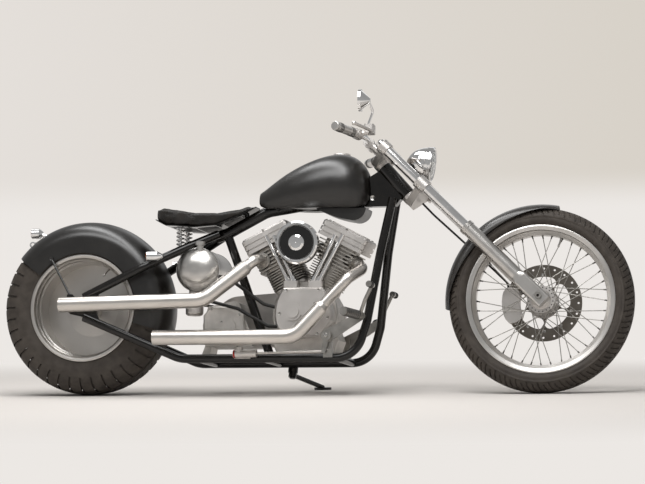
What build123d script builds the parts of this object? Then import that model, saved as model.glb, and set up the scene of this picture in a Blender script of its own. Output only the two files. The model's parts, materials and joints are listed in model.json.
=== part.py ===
from build123d import *
from math import sin, cos, tan, asin, radians, degrees, sqrt, pi
import os

# Low rigid-frame cruiser with a long raked fork, drawn upright and then leaned on its side stand.
# Before it is parked: x runs forward from the rear axle, y to the left and z up from the tyre's floor.

# How it stands
lean = 6.55
steer = 4.2
wheelbase = 1763.0
neck_rake = 42.0
tree_rake = 4.0
fork_offset = 60.0

# Front wheel, 21 inch
front_r = 350.0
front_crown_r = 60.0
front_half_w = 61.0
front_seat_r = 267.0
front_rim_half = 51.0
rim_flange_h = 14.0
rim_well_depth = 15.0
rim_wall = 5.0
spoke_r = 1.6
spoke_count = 40
hub_flange_r = 52.0
hub_core_r = 26.0
front_disc_r = 146.0
front_disc_y = 71.0
disc_thick = 5.0

# Rear wheel, 15 inch by 8 inch
rear_r = 327.0
rear_crown_r = 150.0
rear_half_w = 114.0
rear_seat_r = 190.5
rear_rim_half = 114.0
rear_well_depth = 7.0
rear_dish_y = 30.0
rear_hub_r = 40.0

# Fork
leg_y = 112.0
leg_tube_r = 19.5
slider_r = 27.5
slider_top = 387.0
upper_tree_s = 820.0
lower_tree_s = 618.0
leg_top_s = 843.0
tree_mid_s = 719.0
front_axle_r = 10.0
slide_fit = 0.05
clear = 0.3

# Frame
tube_r = 16.5
rail_z = 128.0
rail_y = 145.0
plate_y = 165.0
plate_thick = 12.0
neck_half = 71.0
neck_r = 30.0
rear_axle_r = 12.5

# Engine
crank_x = 866.0
crank_z = 300.0
vee_half = 27.0
barrel_fin_r = 70.0
barrel_r = 58.0

# Side stand
stand_pivot = Vector(770.0, 152.0, 84.0)
stand_folded_dir = Vector(-1.0, 0.12, 0.02)
stand_eye_half = 9.0
stand_pin_r = 6.0
stand_foot_y = 330.0
stand_foot_x = 850.0

# Parked place of the drawing's origin
park_x = -893.0
park_y = -110.0

# Derived places
front_flange_r = front_seat_r + rim_flange_h
front_well_r = front_seat_r - rim_well_depth
rear_flange_r = rear_seat_r + rim_flange_h + 1.5
fork_rake = neck_rake + tree_rake
rear_axle_z = rear_r - rear_crown_r + rear_crown_r / cos(radians(lean))
turn = radians(steer)
tilt = radians(lean)
rake = radians(neck_rake)
leg_dir = Vector(-sin(radians(fork_rake)), 0, cos(radians(fork_rake)))
neck_dir = Vector(-sin(rake), 0, cos(rake))
neck_front = Vector(cos(rake), 0, sin(rake))
axle_rise = sin(rake) * sin(turn) * cos(tilt) + cos(turn) * sin(tilt)
axle_ahead = fork_offset + tree_mid_s * sin(radians(tree_rake))
front_axle_z = (
    (front_crown_r + (front_r - front_crown_r) * sqrt(1 - axle_rise**2)
     + axle_ahead * sin(turn) * sin(tilt)) / cos(tilt)
    + axle_ahead * (1 - cos(turn)) * sin(rake)
)
front_axle = Vector(wheelbase, 0, front_axle_z)
tree_mid = front_axle + leg_dir * tree_mid_s
neck_mid = tree_mid - neck_front * fork_offset
steer_axis = Axis(origin=neck_mid, direction=neck_dir)

os.makedirs("parts", exist_ok=True)


def park(part):
    leaned = part.rotate(Axis.X, -lean)
    return leaned.moved(Location((park_x, park_y, 0)))


def turned(part):
    return park(part.rotate(steer_axis, steer))


def side(y):
    return Plane(origin=(0, y, 0), x_dir=(1, 0, 0), z_dir=(0, -1, 0))


def leg_plane(s, y):
    return Plane(origin=front_axle + leg_dir * s + Vector(0, y, 0), x_dir=(0, -1, 0), z_dir=leg_dir)


def neck_plane(s):
    return Plane(origin=neck_mid + neck_dir * s, x_dir=(0, -1, 0), z_dir=neck_dir)


def bent_rod(points, rod_r, bend_r, bore_r=0.0):
    with BuildPart() as run:
        with BuildLine() as path:
            if len(points) > 2:
                FilletPolyline(*points, radius=bend_r)
            else:
                Line(*points)
        with BuildSketch(Plane(origin=path.line @ 0, z_dir=path.line % 0)):
            Circle(rod_r)
            if bore_r > 0:
                Circle(bore_r, mode=Mode.SUBTRACT)
        sweep(path=path.line)
    return run.part


def straight_rod(start, end, rod_r):
    return bent_rod([start, end], rod_r, 0)


# Tyres: crown, shoulder and wall in straight bands, with a corner where the leaning tyre meets the floor
def tyre_points(r, crown_r, contact, shoulder, half_w, seat_r, flange_r, rim_half):
    crown = [
        (r - crown_r * (1 - cos(radians(turn_up))), crown_r * sin(radians(turn_up)))
        for turn_up in (contact, shoulder)
    ]
    wall = [
        ((flange_r + crown[-1][0]) / 2, half_w),
        (flange_r + 1.0, rim_half - 4.5),
        (seat_r, rim_half - 9.0),
    ]
    half = crown + wall
    return half + [(radius, -out) for radius, out in reversed(half)]


front_contact = degrees(asin(axle_rise))
with BuildPart() as front_tyre:
    with BuildSketch(Plane.XY):
        with BuildLine():
            Polyline(
                *tyre_points(
                    front_r, front_crown_r, front_contact, 48, front_half_w,
                    front_seat_r, front_flange_r, front_rim_half,
                ),
                close=True,
            )
        make_face()
    revolve(axis=Axis.Y)
front_tyre.part = turned(front_tyre.part.moved(Location(front_axle)))
front_tyre.part.label = "front_tyre"
export_step(front_tyre.part, "parts/front_tyre.step")

# Front rim: drop-centre channel with turned-out flanges
rim_outside = [
    (front_flange_r - 4, front_rim_half + 1),
    (front_flange_r, front_rim_half),
    (front_flange_r - 1, front_rim_half - 2.5),
    (front_seat_r, front_rim_half - 5.5),
    (front_seat_r - 0.4, front_rim_half / 2),
    (front_well_r, front_rim_half / 4 + 2),
]
rim_inside = [
    (front_well_r - rim_wall, front_rim_half / 4 + 4),
    (front_seat_r - rim_wall, front_rim_half / 2 + 2),
    (front_seat_r - rim_wall + 1, front_rim_half - 3),
]
rim_half_points = rim_inside + rim_outside
with BuildPart() as front_rim:
    with BuildSketch(Plane.XY):
        with BuildLine():
            Polyline(
                *rim_half_points,
                *[(radius, -out) for radius, out in reversed(rim_half_points)],
                close=True,
            )
        make_face()
    revolve(axis=Axis.Y)
front_rim_body = front_rim.part
front_rim.part = turned(front_rim_body.moved(Location(front_axle)))
front_rim.part.label = "front_rim"
export_step(front_rim.part, "parts/front_rim.step")

# Front hub: waisted body, two spoke flanges and the disc's seat on the left
flange_out = 37.5
flange_in = 28.5
disc_seat_r = 60.0
disc_face = front_disc_y - disc_thick / 2
with BuildPart() as front_hub:
    with BuildSketch(Plane.XY):
        with BuildLine():
            Polyline(
                (front_axle_r + slide_fit, -74),
                (24, -74),
                (24, -50),
                (38, -flange_out),
                (hub_flange_r, -flange_out),
                (hub_flange_r, -flange_in),
                (hub_core_r + 10, -flange_in),
                (hub_core_r, -20),
                (hub_core_r, 20),
                (hub_core_r + 10, flange_in),
                (hub_flange_r, flange_in),
                (hub_flange_r, flange_out),
                (hub_core_r + 10, flange_out + 2),
                (hub_core_r + 8, disc_face - 5),
                (disc_seat_r, disc_face - 5),
                (disc_seat_r, disc_face),
                (28, disc_face),
                (28, disc_face + disc_thick + 4),
                (front_axle_r + slide_fit, disc_face + disc_thick + 4),
                close=True,
            )
        make_face()
    revolve(axis=Axis.Y)
front_hub_body = front_hub.part
front_hub.part = turned(front_hub_body.moved(Location(front_axle)))
front_hub.part.label = "front_hub"
export_step(front_hub.part, "parts/front_hub.step")

# Spokes: two crossed layers from each flange to the rim's well
spoke_lace = 56.0
spoke_groups = []
for side_sign, cross_sign, phase in ((1, 1, 0), (1, -1, 18), (-1, 1, 9), (-1, -1, 27)):
    hub_at = radians(phase + cross_sign * spoke_lace)
    rim_at = radians(phase)
    hub_y = side_sign * (33 + cross_sign * 1.8)
    rim_y = side_sign * (6 + cross_sign * 1.9)
    spoke_start = Vector((hub_flange_r - 2) * cos(hub_at), hub_y, (hub_flange_r - 2) * sin(hub_at))
    spoke_end = Vector((front_well_r - 2) * cos(rim_at), rim_y, (front_well_r - 2) * sin(rim_at))
    spoke_groups.append(straight_rod(spoke_start, spoke_end, spoke_r))
with BuildPart() as front_spokes:
    for spoke in spoke_groups:
        for step in range(spoke_count // 4):
            add(spoke.rotate(Axis.Y, 360.0 / (spoke_count // 4) * step))
    add(front_rim_body, mode=Mode.SUBTRACT)
    add(front_hub_body, mode=Mode.SUBTRACT)
front_spokes.part = turned(front_spokes.part.moved(Location(front_axle)))
front_spokes.part.label = "front_spokes"
export_step(front_spokes.part, "parts/front_spokes.step")

# Front brake disc: drilled band on a carrier with five curved windows
window_count = 5
window_mid_r = 80.0
window_height = 42.0
window_reach = 40.0
vent_count = 20
with BuildPart() as front_disc:
    with BuildSketch(Plane.XZ.offset(-front_disc_y)):
        Circle(front_disc_r)
        Circle(28 + slide_fit, mode=Mode.SUBTRACT)
        for window in range(window_count):
            with BuildLine(mode=Mode.PRIVATE):
                window_arc = CenterArc((0, 0), window_mid_r, 360 / window_count * window, window_reach)
            SlotArc(window_arc, window_height, mode=Mode.SUBTRACT)
        with PolarLocations(front_disc_r - 14, vent_count):
            Circle(4, mode=Mode.SUBTRACT)
    extrude(amount=disc_thick / 2, both=True)
front_disc.part = turned(front_disc.part.moved(Location(front_axle)))
front_disc.part.label = "front_brake_disc"
export_step(front_disc.part, "parts/front_brake_disc.step")

# Front axle: hollow, through both sliders, with a hexagon head
axle_half = leg_y + slider_r + 3
axle_bore_r = 5.0
axle_head = 9.0
with BuildPart() as front_axle_rod:
    with BuildSketch(Plane.XZ.offset(-axle_half)):
        Circle(front_axle_r)
        Circle(axle_bore_r, mode=Mode.SUBTRACT)
    extrude(amount=2 * axle_half)
    with BuildSketch(Plane.XZ.offset(axle_half - 2.5)):
        RegularPolygon(14, 6)
        Circle(axle_bore_r, mode=Mode.SUBTRACT)
    extrude(amount=axle_head)
front_axle_rod.part = turned(front_axle_rod.part.moved(Location(front_axle)))
front_axle_rod.part.label = "front_axle"
export_step(front_axle_rod.part, "parts/front_axle.step")


# Fork legs. The slider's foot is squared round the axle, with a pocket for its head and a shallow one above
foot_drop = 30.0
foot_height = 96.0


def foot_side_plane(y):
    across_leg = leg_dir.cross(Vector(0, -1, 0)) * -1
    return Plane(origin=front_axle + Vector(0, y, 0), x_dir=across_leg, z_dir=(0, -1, 0))


def slider(y):
    outward = 1 if y > 0 else -1
    with BuildPart() as body:
        with BuildSketch(leg_plane(-18, y)):
            Circle(slider_r)
        extrude(amount=slider_top + 18)
        with BuildSketch(leg_plane(-foot_drop, y)):
            RectangleRounded(2 * slider_r, 2 * slider_r + 2, 9)
        extrude(amount=foot_drop + foot_height)
        with BuildSketch(leg_plane(foot_height, y)):
            RectangleRounded(2 * slider_r, 2 * slider_r + 2, 9)
        with BuildSketch(leg_plane(foot_height + 22, y)):
            Circle(slider_r)
        loft()
        with BuildSketch(leg_plane(slider_top, y)):
            Circle(slider_r + 2)
        extrude(amount=-16)
        with BuildSketch(leg_plane(slider_top, y)):
            Circle(leg_tube_r)
        extrude(amount=-330, mode=Mode.SUBTRACT)
        with BuildSketch(foot_side_plane(y + outward * slider_r)):
            Rectangle(34, 30)
            with Locations((0, 62)):
                RectangleRounded(30, 40, 5)
        extrude(amount=3, both=True, mode=Mode.SUBTRACT)
        with BuildSketch(Plane(origin=front_axle, x_dir=(1, 0, 0), z_dir=(0, -1, 0))):
            Circle(front_axle_r)
        extrude(amount=200, both=True, mode=Mode.SUBTRACT)
    return body.part


def fork_tube(y):
    with BuildPart() as body:
        with BuildSketch(leg_plane(slider_top - 320, y)):
            Circle(leg_tube_r)
            Circle(leg_tube_r - 4, mode=Mode.SUBTRACT)
        extrude(amount=leg_top_s - slider_top + 320)
        with BuildSketch(leg_plane(leg_top_s, y)):
            Circle(leg_tube_r)
        extrude(amount=5)
        with BuildSketch(leg_plane(leg_top_s + 5, y)):
            RegularPolygon(13, 6)
        extrude(amount=7)
    return body.part


right_slider_body = slider(-leg_y)
left_slider_body = slider(leg_y)
with BuildPart() as sliders:
    add(right_slider_body)
    add(left_slider_body)
sliders.part = turned(sliders.part)
sliders.part.label = "fork_sliders"
export_step(sliders.part, "parts/fork_sliders.step")

right_tube_body = fork_tube(-leg_y)
left_tube_body = fork_tube(leg_y)
with BuildPart() as fork_tubes:
    add(right_tube_body)
    add(left_tube_body)
fork_tubes.part = turned(fork_tubes.part)
fork_tubes.part.label = "fork_tubes"
export_step(fork_tubes.part, "parts/fork_tubes.step")


# Triple trees: a bridge across the stem with a split clamp at each leg
def tree(s, thick, web):
    plane = leg_plane(s - thick / 2, 0)
    reach = fork_offset + (tree_mid_s - s) * sin(radians(tree_rake))
    with BuildPart() as body:
        with BuildSketch(plane):
            with Locations((-leg_y, 0), (leg_y, 0)):
                Circle(leg_tube_r + 8)
        extrude(amount=thick)
        with BuildSketch(plane.offset((thick - web) / 2)):
            with BuildLine():
                Polyline(
                    (-leg_y, leg_tube_r + 4),
                    (leg_y, leg_tube_r + 4),
                    (leg_y, -leg_tube_r - 2),
                    (38, -reach - 24),
                    (-38, -reach - 24),
                    (-leg_y, -leg_tube_r - 2),
                    close=True,
                )
            make_face()
        extrude(amount=web)
        with BuildSketch(plane.offset(-20)):
            with Locations((-leg_y, 0), (leg_y, 0)):
                Circle(leg_tube_r)
        extrude(amount=thick + 40, mode=Mode.SUBTRACT)
    return body.part


upper_tree_body = tree(upper_tree_s, 34, 24)
lower_tree_body = tree(lower_tree_s, 44, 28)
bar_r = 12.7
bar_mid = neck_mid + neck_dir * 172 + neck_front * 22
riser_y = 45.0
riser_foot = leg_plane(upper_tree_s, 0).origin - neck_front * 22
with BuildPart() as upper_tree:
    add(upper_tree_body)
    for y in (-riser_y, riser_y):
        with BuildSketch(Plane(origin=riser_foot + Vector(0, y, 0), z_dir=(bar_mid - riser_foot).normalized())):
            Circle(15)
        extrude(amount=(bar_mid - riser_foot).length)
        with BuildSketch(Plane(origin=bar_mid + Vector(0, y, 0), x_dir=neck_front, z_dir=(0, -1, 0))):
            Circle(bar_r + 8)
        extrude(amount=15, both=True)
    with BuildSketch(Plane(origin=bar_mid, x_dir=neck_front, z_dir=(0, -1, 0))):
        Circle(bar_r)
    extrude(amount=100, both=True, mode=Mode.SUBTRACT)
    with BuildSketch(neck_plane(neck_half + 1)):
        Circle(neck_r - 3)
    extrude(amount=24)
    with BuildSketch(neck_plane(neck_half)):
        Circle(12.5)
    extrude(amount=52, mode=Mode.SUBTRACT)
upper_tree.part = turned(upper_tree.part)
upper_tree.part.label = "upper_tree"
export_step(upper_tree.part, "parts/upper_tree.step")
with BuildPart() as lower_tree:
    add(lower_tree_body)
    with BuildSketch(neck_plane(-neck_half - 34)):
        Circle(12.5)
    extrude(amount=2 * neck_half + 66)
    with BuildSketch(neck_plane(-neck_half - 24)):
        Circle(neck_r - 3)
    extrude(amount=23)
lower_tree.part = turned(lower_tree.part)
lower_tree.part.label = "lower_tree_stem"
export_step(lower_tree.part, "parts/lower_tree_stem.step")

# Handlebar on two risers, its ends swept back
grip_in = neck_mid + Vector(-113.206, 285, 135.142)
grip_out = grip_in + Vector(-55, 117, 7)
bar_points = [
    (grip_out.X, -grip_out.Y, grip_out.Z),
    (grip_in.X, -grip_in.Y, grip_in.Z),
    (bar_mid.X, -150, bar_mid.Z),
    (bar_mid.X, 150, bar_mid.Z),
    (grip_in.X, grip_in.Y, grip_in.Z),
    (grip_out.X, grip_out.Y, grip_out.Z),
]
bar_body = bent_rod(bar_points, bar_r, 60)
with BuildPart() as handlebar:
    add(bar_body)
handlebar.part = turned(handlebar.part)
handlebar.part.label = "handlebar"
export_step(handlebar.part, "parts/handlebar.step")

# Headlamp: bullet housing on a rod from the lower tree, with a raised ring round its domed lens
lamp_mid = tree_mid + Vector(50.205, 0, 29.994)
lamp_r = 66.0
lens_r = 56.0
lens_dome = 10.0
dome_r = (lens_r**2 + lens_dome**2) / (2 * lens_dome)
lamp_dir = Vector(cos(radians(8)), 0, -sin(radians(8)))
lamp_axis = Axis(origin=lamp_mid, direction=lamp_dir)
lamp_plane = Plane(origin=lamp_mid, x_dir=lamp_dir, z_dir=(0, -1, 0))
with BuildPart() as headlamp:
    with BuildSketch(lamp_plane):
        with BuildLine():
            Polyline(
                (36, 0), (36, lens_r + clear), (47, lens_r + clear), (48, lamp_r - 5), (43, lamp_r),
                (24, lamp_r), (22, lamp_r - 3),
            )
            ThreePointArc((22, lamp_r - 3), (-28, 42), (-52, 8))
            Polyline((-52, 8), (-52, 0), (36, 0))
        make_face()
    revolve(axis=lamp_axis)
    add(straight_rod(lamp_mid + Vector(22, 0, -103), lamp_mid + Vector(-6, 0, -53), 9))
    add(lower_tree_body, mode=Mode.SUBTRACT)
headlamp.part = turned(Part() + headlamp.part.solids().sort_by(SortBy.VOLUME)[-1])
headlamp.part.label = "headlamp"
export_step(headlamp.part, "parts/headlamp.step")
with BuildPart() as headlamp_lens:
    with BuildSketch(lamp_plane):
        with BuildLine():
            Polyline((46 + lens_dome, 0), (36 + clear, 0), (36 + clear, lens_r), (46, lens_r))
            ThreePointArc(
                (46, lens_r),
                (46 + lens_dome - dome_r + sqrt(dome_r**2 - lens_r**2 / 4), lens_r / 2),
                (46 + lens_dome, 0),
            )
        make_face()
    revolve(axis=lamp_axis)
headlamp_lens.part = turned(headlamp_lens.part)
headlamp_lens.part.label = "headlamp_lens"
export_step(headlamp_lens.part, "parts/headlamp_lens.step")

# Rear wheel: wide stepped barrel, its one dished web set far back from the right lip
rear_axle_at = Vector(0, 0, rear_axle_z)
barrel_in_r = rear_seat_r - rear_well_depth - rim_wall
hub_left = 104.0
hub_right = -30.0
with BuildPart() as rear_rim:
    with BuildSketch(Plane.XY):
        with BuildLine():
            Polyline(
                (rear_axle_r + slide_fit, hub_right),
                (rear_hub_r - 6, hub_right),
                (rear_hub_r, hub_right + 6),
                (rear_hub_r, rear_dish_y - 8),
                (rear_hub_r + 60, rear_dish_y - 2),
                (barrel_in_r, rear_dish_y),
                (barrel_in_r, 46 - rear_rim_half),
                (barrel_in_r + 6, 40 - rear_rim_half),
                (barrel_in_r + 6, 16 - rear_rim_half),
                (rear_seat_r - 2, 12 - rear_rim_half),
                (rear_seat_r + 3, 1 - rear_rim_half),
                (rear_flange_r - 5, -rear_rim_half - 1),
                (rear_flange_r, -rear_rim_half),
                (rear_flange_r, -rear_rim_half + 5),
                (rear_seat_r, -rear_rim_half + 9),
                (rear_seat_r, -62),
                (rear_seat_r - rear_well_depth, -50),
                (rear_seat_r - rear_well_depth, 50),
                (rear_seat_r, 62),
                (rear_seat_r, rear_rim_half - 9),
                (rear_flange_r, rear_rim_half - 5),
                (rear_flange_r, rear_rim_half),
                (rear_flange_r - 5, rear_rim_half + 1),
                (barrel_in_r + 6, rear_rim_half - 6),
                (barrel_in_r, rear_rim_half - 30),
                (barrel_in_r, rear_dish_y + 8),
                (rear_hub_r, rear_dish_y + 14),
                (rear_hub_r, hub_left - 10),
                (62, hub_left - 10),
                (62, hub_left),
                (rear_axle_r + slide_fit, hub_left),
                close=True,
            )
        make_face()
    revolve(axis=Axis.Y)
rear_rim.part = park(rear_rim.part.moved(Location(rear_axle_at)))
rear_rim.part.label = "rear_rim"
export_step(rear_rim.part, "parts/rear_rim.step")

with BuildPart() as rear_tyre:
    with BuildSketch(Plane.XY):
        with BuildLine():
            Polyline(
                *tyre_points(
                    rear_r, rear_crown_r, lean, 36, rear_half_w,
                    rear_seat_r, rear_flange_r, rear_rim_half - 0.5,
                ),
                close=True,
            )
        make_face()
    revolve(axis=Axis.Y)
rear_tyre.part = park(rear_tyre.part.moved(Location(rear_axle_at)))
rear_tyre.part.label = "rear_tyre"
export_step(rear_tyre.part, "parts/rear_tyre.step")

# Chain wheel that is the rear brake's disc too, bolted to the hub's left face
chain_pitch = 15.875
chain_teeth = 40
chain_y = 131.0
chain_wheel_r = chain_pitch / 2 / sin(pi / chain_teeth)
roller_r = 5.1
tooth_gap_r = roller_r + 0.35
wheel_thick = 6.0
with BuildPart() as rear_rotor:
    with BuildSketch(Plane.XZ.offset(-chain_y - wheel_thick / 2)):
        Circle(chain_wheel_r + 3.2)
        Circle(rear_axle_r + 2, mode=Mode.SUBTRACT)
        with PolarLocations(chain_wheel_r, chain_teeth, start_angle=180 / chain_teeth):
            Circle(tooth_gap_r, mode=Mode.SUBTRACT)
        with PolarLocations(66, 6):
            Circle(14, mode=Mode.SUBTRACT)
    extrude(amount=wheel_thick)
    with BuildSketch(Plane.XZ.offset(-hub_left)):
        Circle(50)
        Circle(rear_axle_r + 2, mode=Mode.SUBTRACT)
    extrude(amount=-(chain_y - wheel_thick / 2 - hub_left))
rear_rotor.part = park(rear_rotor.part.moved(Location(rear_axle_at)))
rear_rotor.part.label = "rear_chain_wheel"
export_step(rear_rotor.part, "parts/rear_chain_wheel.step")

# Frame: neck with a boxed gusset and the top tube under the tank
top_rod = bent_rod([(1110, 0, 764), (700, 0, 700), (545, 0, 618), (500, 0, 604)], 22, 120)
with BuildPart() as backbone:
    with BuildSketch(neck_plane(-neck_half)):
        Circle(neck_r)
    extrude(amount=2 * neck_half)
    with BuildSketch(side(22)):
        with BuildLine():
            Polyline(
                (neck_mid.X - 56, neck_mid.Z + 42),
                (neck_mid.X + 32, neck_mid.Z - 58),
                (neck_mid.X + 2, neck_mid.Z - 96),
                (1082, 712),
                (1082, 812),
                close=True,
            )
        make_face()
    extrude(amount=44)
    add(top_rod)
    with BuildSketch(neck_plane(-neck_half - 20)):
        Circle(13.2)
    extrude(amount=2 * neck_half + 40, mode=Mode.SUBTRACT)
backbone_body = backbone.part
backbone.part = park(backbone_body)
backbone.part.label = "frame_backbone"
export_step(backbone.part, "parts/frame_backbone.step")


# Tubes of one side. The two rear rails end above and below the axle
rail_end_x = 22.0
rail_end_drop = 40.0
rail_end_rise = 36.0


def rail_side(hand):
    down = bent_rod(
        [
            (neck_mid.X - 3.206, hand * 39, neck_mid.Z - 66.858),
            (1160, hand * 70, 541),
            (1120, hand * 128, 262),
            (1080, hand * rail_y, rail_z),
            (960, hand * rail_y, rail_z),
        ],
        tube_r,
        100,
    )
    low = bent_rod(
        [
            (959.7, hand * rail_y, rail_z),
            (400, hand * rail_y, rail_z),
            (rail_end_x, hand * plate_y, rear_axle_z - rail_end_drop),
        ],
        tube_r,
        120,
    )
    high = bent_rod(
        [
            (rail_end_x, hand * plate_y, rear_axle_z + rail_end_rise),
            (250, hand * 158, 477),
            (420, hand * 96, 563),
            (520, hand * 48, 612),
        ],
        tube_r,
        60,
    )
    return down, low, high


right_down, right_low, right_high = rail_side(-1)
left_down, left_low, left_high = rail_side(1)
with BuildPart() as downtubes:
    add(right_down)
    add(left_down)
downtubes.part = park(downtubes.part)
downtubes.part.label = "frame_downtubes"
export_step(downtubes.part, "parts/frame_downtubes.step")
with BuildPart() as low_rails:
    add(right_low)
    add(left_low)
low_rails.part = park(low_rails.part)
low_rails.part.label = "frame_bottom_rails"
export_step(low_rails.part, "parts/frame_bottom_rails.step")
with BuildPart() as high_rails:
    add(right_high)
    add(left_high)
high_rails.part = park(high_rails.part)
high_rails.part.label = "frame_rear_rails"
export_step(high_rails.part, "parts/frame_rear_rails.step")

# Axle plates between the rails' ends, scalloped in front, with a slot for the chain's slack
plate_low = rear_axle_z - rail_end_drop
plate_high = rear_axle_z + rail_end_rise
with BuildPart() as plates:
    for y in (-plate_y - plate_thick / 2, plate_y - plate_thick / 2):
        with BuildSketch(Plane.XZ.offset(-y - plate_thick)):
            with BuildLine():
                Polyline(
                    (104, plate_low - 36), (rail_end_x, plate_low), (-30, plate_low + 12), (-42, plate_low + 24),
                    (-48, plate_high - 26), (-44, plate_high + 12), (-24, plate_high + 12), (-8, plate_high - 6),
                    (rail_end_x, plate_high), (98, plate_high + 38),
                )
                ThreePointArc((98, plate_high + 38), (72, rear_axle_z - 4), (104, plate_low - 36))
            make_face()
            with Locations((0, rear_axle_z)):
                SlotCenterToCenter(28, 2 * rear_axle_r + 0.1, mode=Mode.SUBTRACT)
        extrude(amount=plate_thick)
    for body in (right_low, left_low, right_high, left_high):
        add(body, mode=Mode.SUBTRACT)
plates.part = park(plates.part)
plates.part.label = "frame_axle_plates"
export_step(plates.part, "parts/frame_axle_plates.step")

# Seat post, cross tubes and the bar under the seat's springs
post = straight_rod((545, 0, 612), (724, 0, rail_z), 17)
seat_bar_x = 372.0
seat_bar_z = 539.0
seat_bar_r = 10.0
seat_bar_half = 112.0
with BuildPart() as cross_tubes:
    for x in (470.0, 724.0, 1010.0):
        with BuildSketch(side(rail_y)):
            with Locations((x, rail_z)):
                Circle(14)
        extrude(amount=2 * rail_y)
    with BuildSketch(side(seat_bar_half)):
        with Locations((seat_bar_x, seat_bar_z)):
            Circle(seat_bar_r)
    extrude(amount=2 * seat_bar_half)
    add(post)
    for body in (right_low, left_low, right_down, left_down, top_rod, right_high, left_high):
        add(body, mode=Mode.SUBTRACT)
cross_tubes_body = cross_tubes.part
cross_tubes.part = park(cross_tubes_body)
cross_tubes.part.label = "frame_cross_tubes"
export_step(cross_tubes.part, "parts/frame_cross_tubes.step")

# Rear axle with its nuts, and spacers from the hub to the plates
spacer_r = 20.0
plate_in = plate_y - plate_thick / 2
with BuildPart() as rear_axle:
    with BuildSketch(Plane.XZ.offset(-plate_y - 22)):
        Circle(rear_axle_r)
    extrude(amount=2 * (plate_y + 22))
    for y in (-plate_y - plate_thick / 2 - 12, plate_y + plate_thick / 2):
        with BuildSketch(Plane.XZ.offset(-y - 12)):
            RegularPolygon(17, 6)
        extrude(amount=12)
    with BuildSketch(Plane.XZ.offset(plate_in - clear)):
        Circle(spacer_r)
    extrude(amount=-(plate_in - clear + hub_right - clear))
rear_axle.part = park(rear_axle.part.moved(Location(rear_axle_at)))
rear_axle.part.label = "rear_axle"
export_step(rear_axle.part, "parts/rear_axle.step")

# Rear fender: round crown, then flat sides down to the rim, with a strut each side to the axle plates
fender_wall = 2.5
fender_gap = 14.0
fender_out_r = rear_r + fender_gap
fender_half = rear_half_w + 7.5
fender_side_r = fender_out_r - 42.0
fender_hem_r = 212.0
fender_rear_at = 143.0
fender_front_at = -16.0
strut_r = 4.5
strut_at = 123.0
strut_top = Vector(
    (fender_hem_r + 14) * cos(radians(strut_at)), 0, rear_axle_z + (fender_hem_r + 14) * sin(radians(strut_at))
)
with BuildPart() as rear_shell:
    with BuildSketch(Plane.XY):
        with BuildLine():
            Line((fender_hem_r, -fender_half), (fender_side_r, -fender_half))
            ThreePointArc((fender_side_r, -fender_half), (fender_out_r, 0), (fender_side_r, fender_half))
            Line((fender_side_r, fender_half), (fender_hem_r, fender_half))
            Line((fender_hem_r, fender_half), (fender_hem_r, fender_half - fender_wall))
            Line((fender_hem_r, fender_half - fender_wall), (fender_side_r, fender_half - fender_wall))
            ThreePointArc(
                (fender_side_r, fender_half - fender_wall),
                (fender_out_r - fender_wall, 0),
                (fender_side_r, -fender_half + fender_wall),
            )
            Line((fender_side_r, -fender_half + fender_wall), (fender_hem_r, -fender_half + fender_wall))
            Line((fender_hem_r, -fender_half + fender_wall), (fender_hem_r, -fender_half))
        make_face()
    revolve(axis=Axis.Y, revolution_arc=fender_rear_at - fender_front_at)
rear_shell_body = rear_shell.part.rotate(Axis.Y, -fender_rear_at).moved(Location(rear_axle_at))
with BuildPart() as rear_fender:
    add(rear_shell_body)
    for hand in (-1, 1):
        add(
            straight_rod(
                strut_top + Vector(0, hand * (fender_half + strut_r - 1), 0),
                Vector(-34, hand * (plate_in - strut_r - clear), plate_high + 2),
                strut_r,
            )
        )
rear_fender.part = park(rear_fender.part)
rear_fender.part.label = "rear_fender"
export_step(rear_fender.part, "parts/rear_fender.step")

# Front fender: narrow shell whose sides taper to a point at both tips, cut by one large round
front_fender_r = front_r + 15.0
front_fender_half = front_half_w + 9.0
front_fender_front_at = 80.0
front_fender_rear_at = 185.0
front_fender_mid_at = (front_fender_front_at + front_fender_rear_at) / 2
skirt_mid = 48.0
skirt_tip = 11.0
tip_r = front_fender_r - skirt_tip
mid_r = front_fender_r - skirt_mid
tip_turn = cos(radians((front_fender_rear_at - front_fender_front_at) / 2))
cut_back = (tip_r**2 - mid_r**2) / (2 * (mid_r - tip_r * tip_turn))
cut_mid = Vector(-cut_back * cos(radians(front_fender_mid_at)), 0, -cut_back * sin(radians(front_fender_mid_at)))
with BuildPart() as front_shell:
    with BuildSketch(Plane.XY):
        with BuildLine():
            Line((mid_r - 6, -front_fender_half), (front_fender_r - 20, -front_fender_half + 2))
            ThreePointArc(
                (front_fender_r - 20, -front_fender_half + 2),
                (front_fender_r, 0),
                (front_fender_r - 20, front_fender_half - 2),
            )
            Line((front_fender_r - 20, front_fender_half - 2), (mid_r - 6, front_fender_half))
            Line((mid_r - 6, front_fender_half), (mid_r - 6, front_fender_half - 2))
            Line((mid_r - 6, front_fender_half - 2), (front_fender_r - 21, front_fender_half - 4))
            ThreePointArc(
                (front_fender_r - 21, front_fender_half - 4),
                (front_fender_r - 2.5, 0),
                (front_fender_r - 21, -front_fender_half + 4),
            )
            Line((front_fender_r - 21, -front_fender_half + 4), (mid_r - 6, -front_fender_half + 2))
            Line((mid_r - 6, -front_fender_half + 2), (mid_r - 6, -front_fender_half))
        make_face()
    revolve(axis=Axis.Y, revolution_arc=front_fender_rear_at - front_fender_front_at)
bracket_s = (front_r - 24, front_r)
with BuildPart() as front_fender:
    add(front_shell.part.rotate(Axis.Y, -front_fender_rear_at))
    with BuildSketch(Plane.XZ.offset(-200)):
        with Locations((cut_mid.X, cut_mid.Z)):
            Circle(mid_r + cut_back)
    extrude(amount=400, mode=Mode.SUBTRACT)
front_shell_body = front_fender.part.moved(Location(front_axle))
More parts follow.
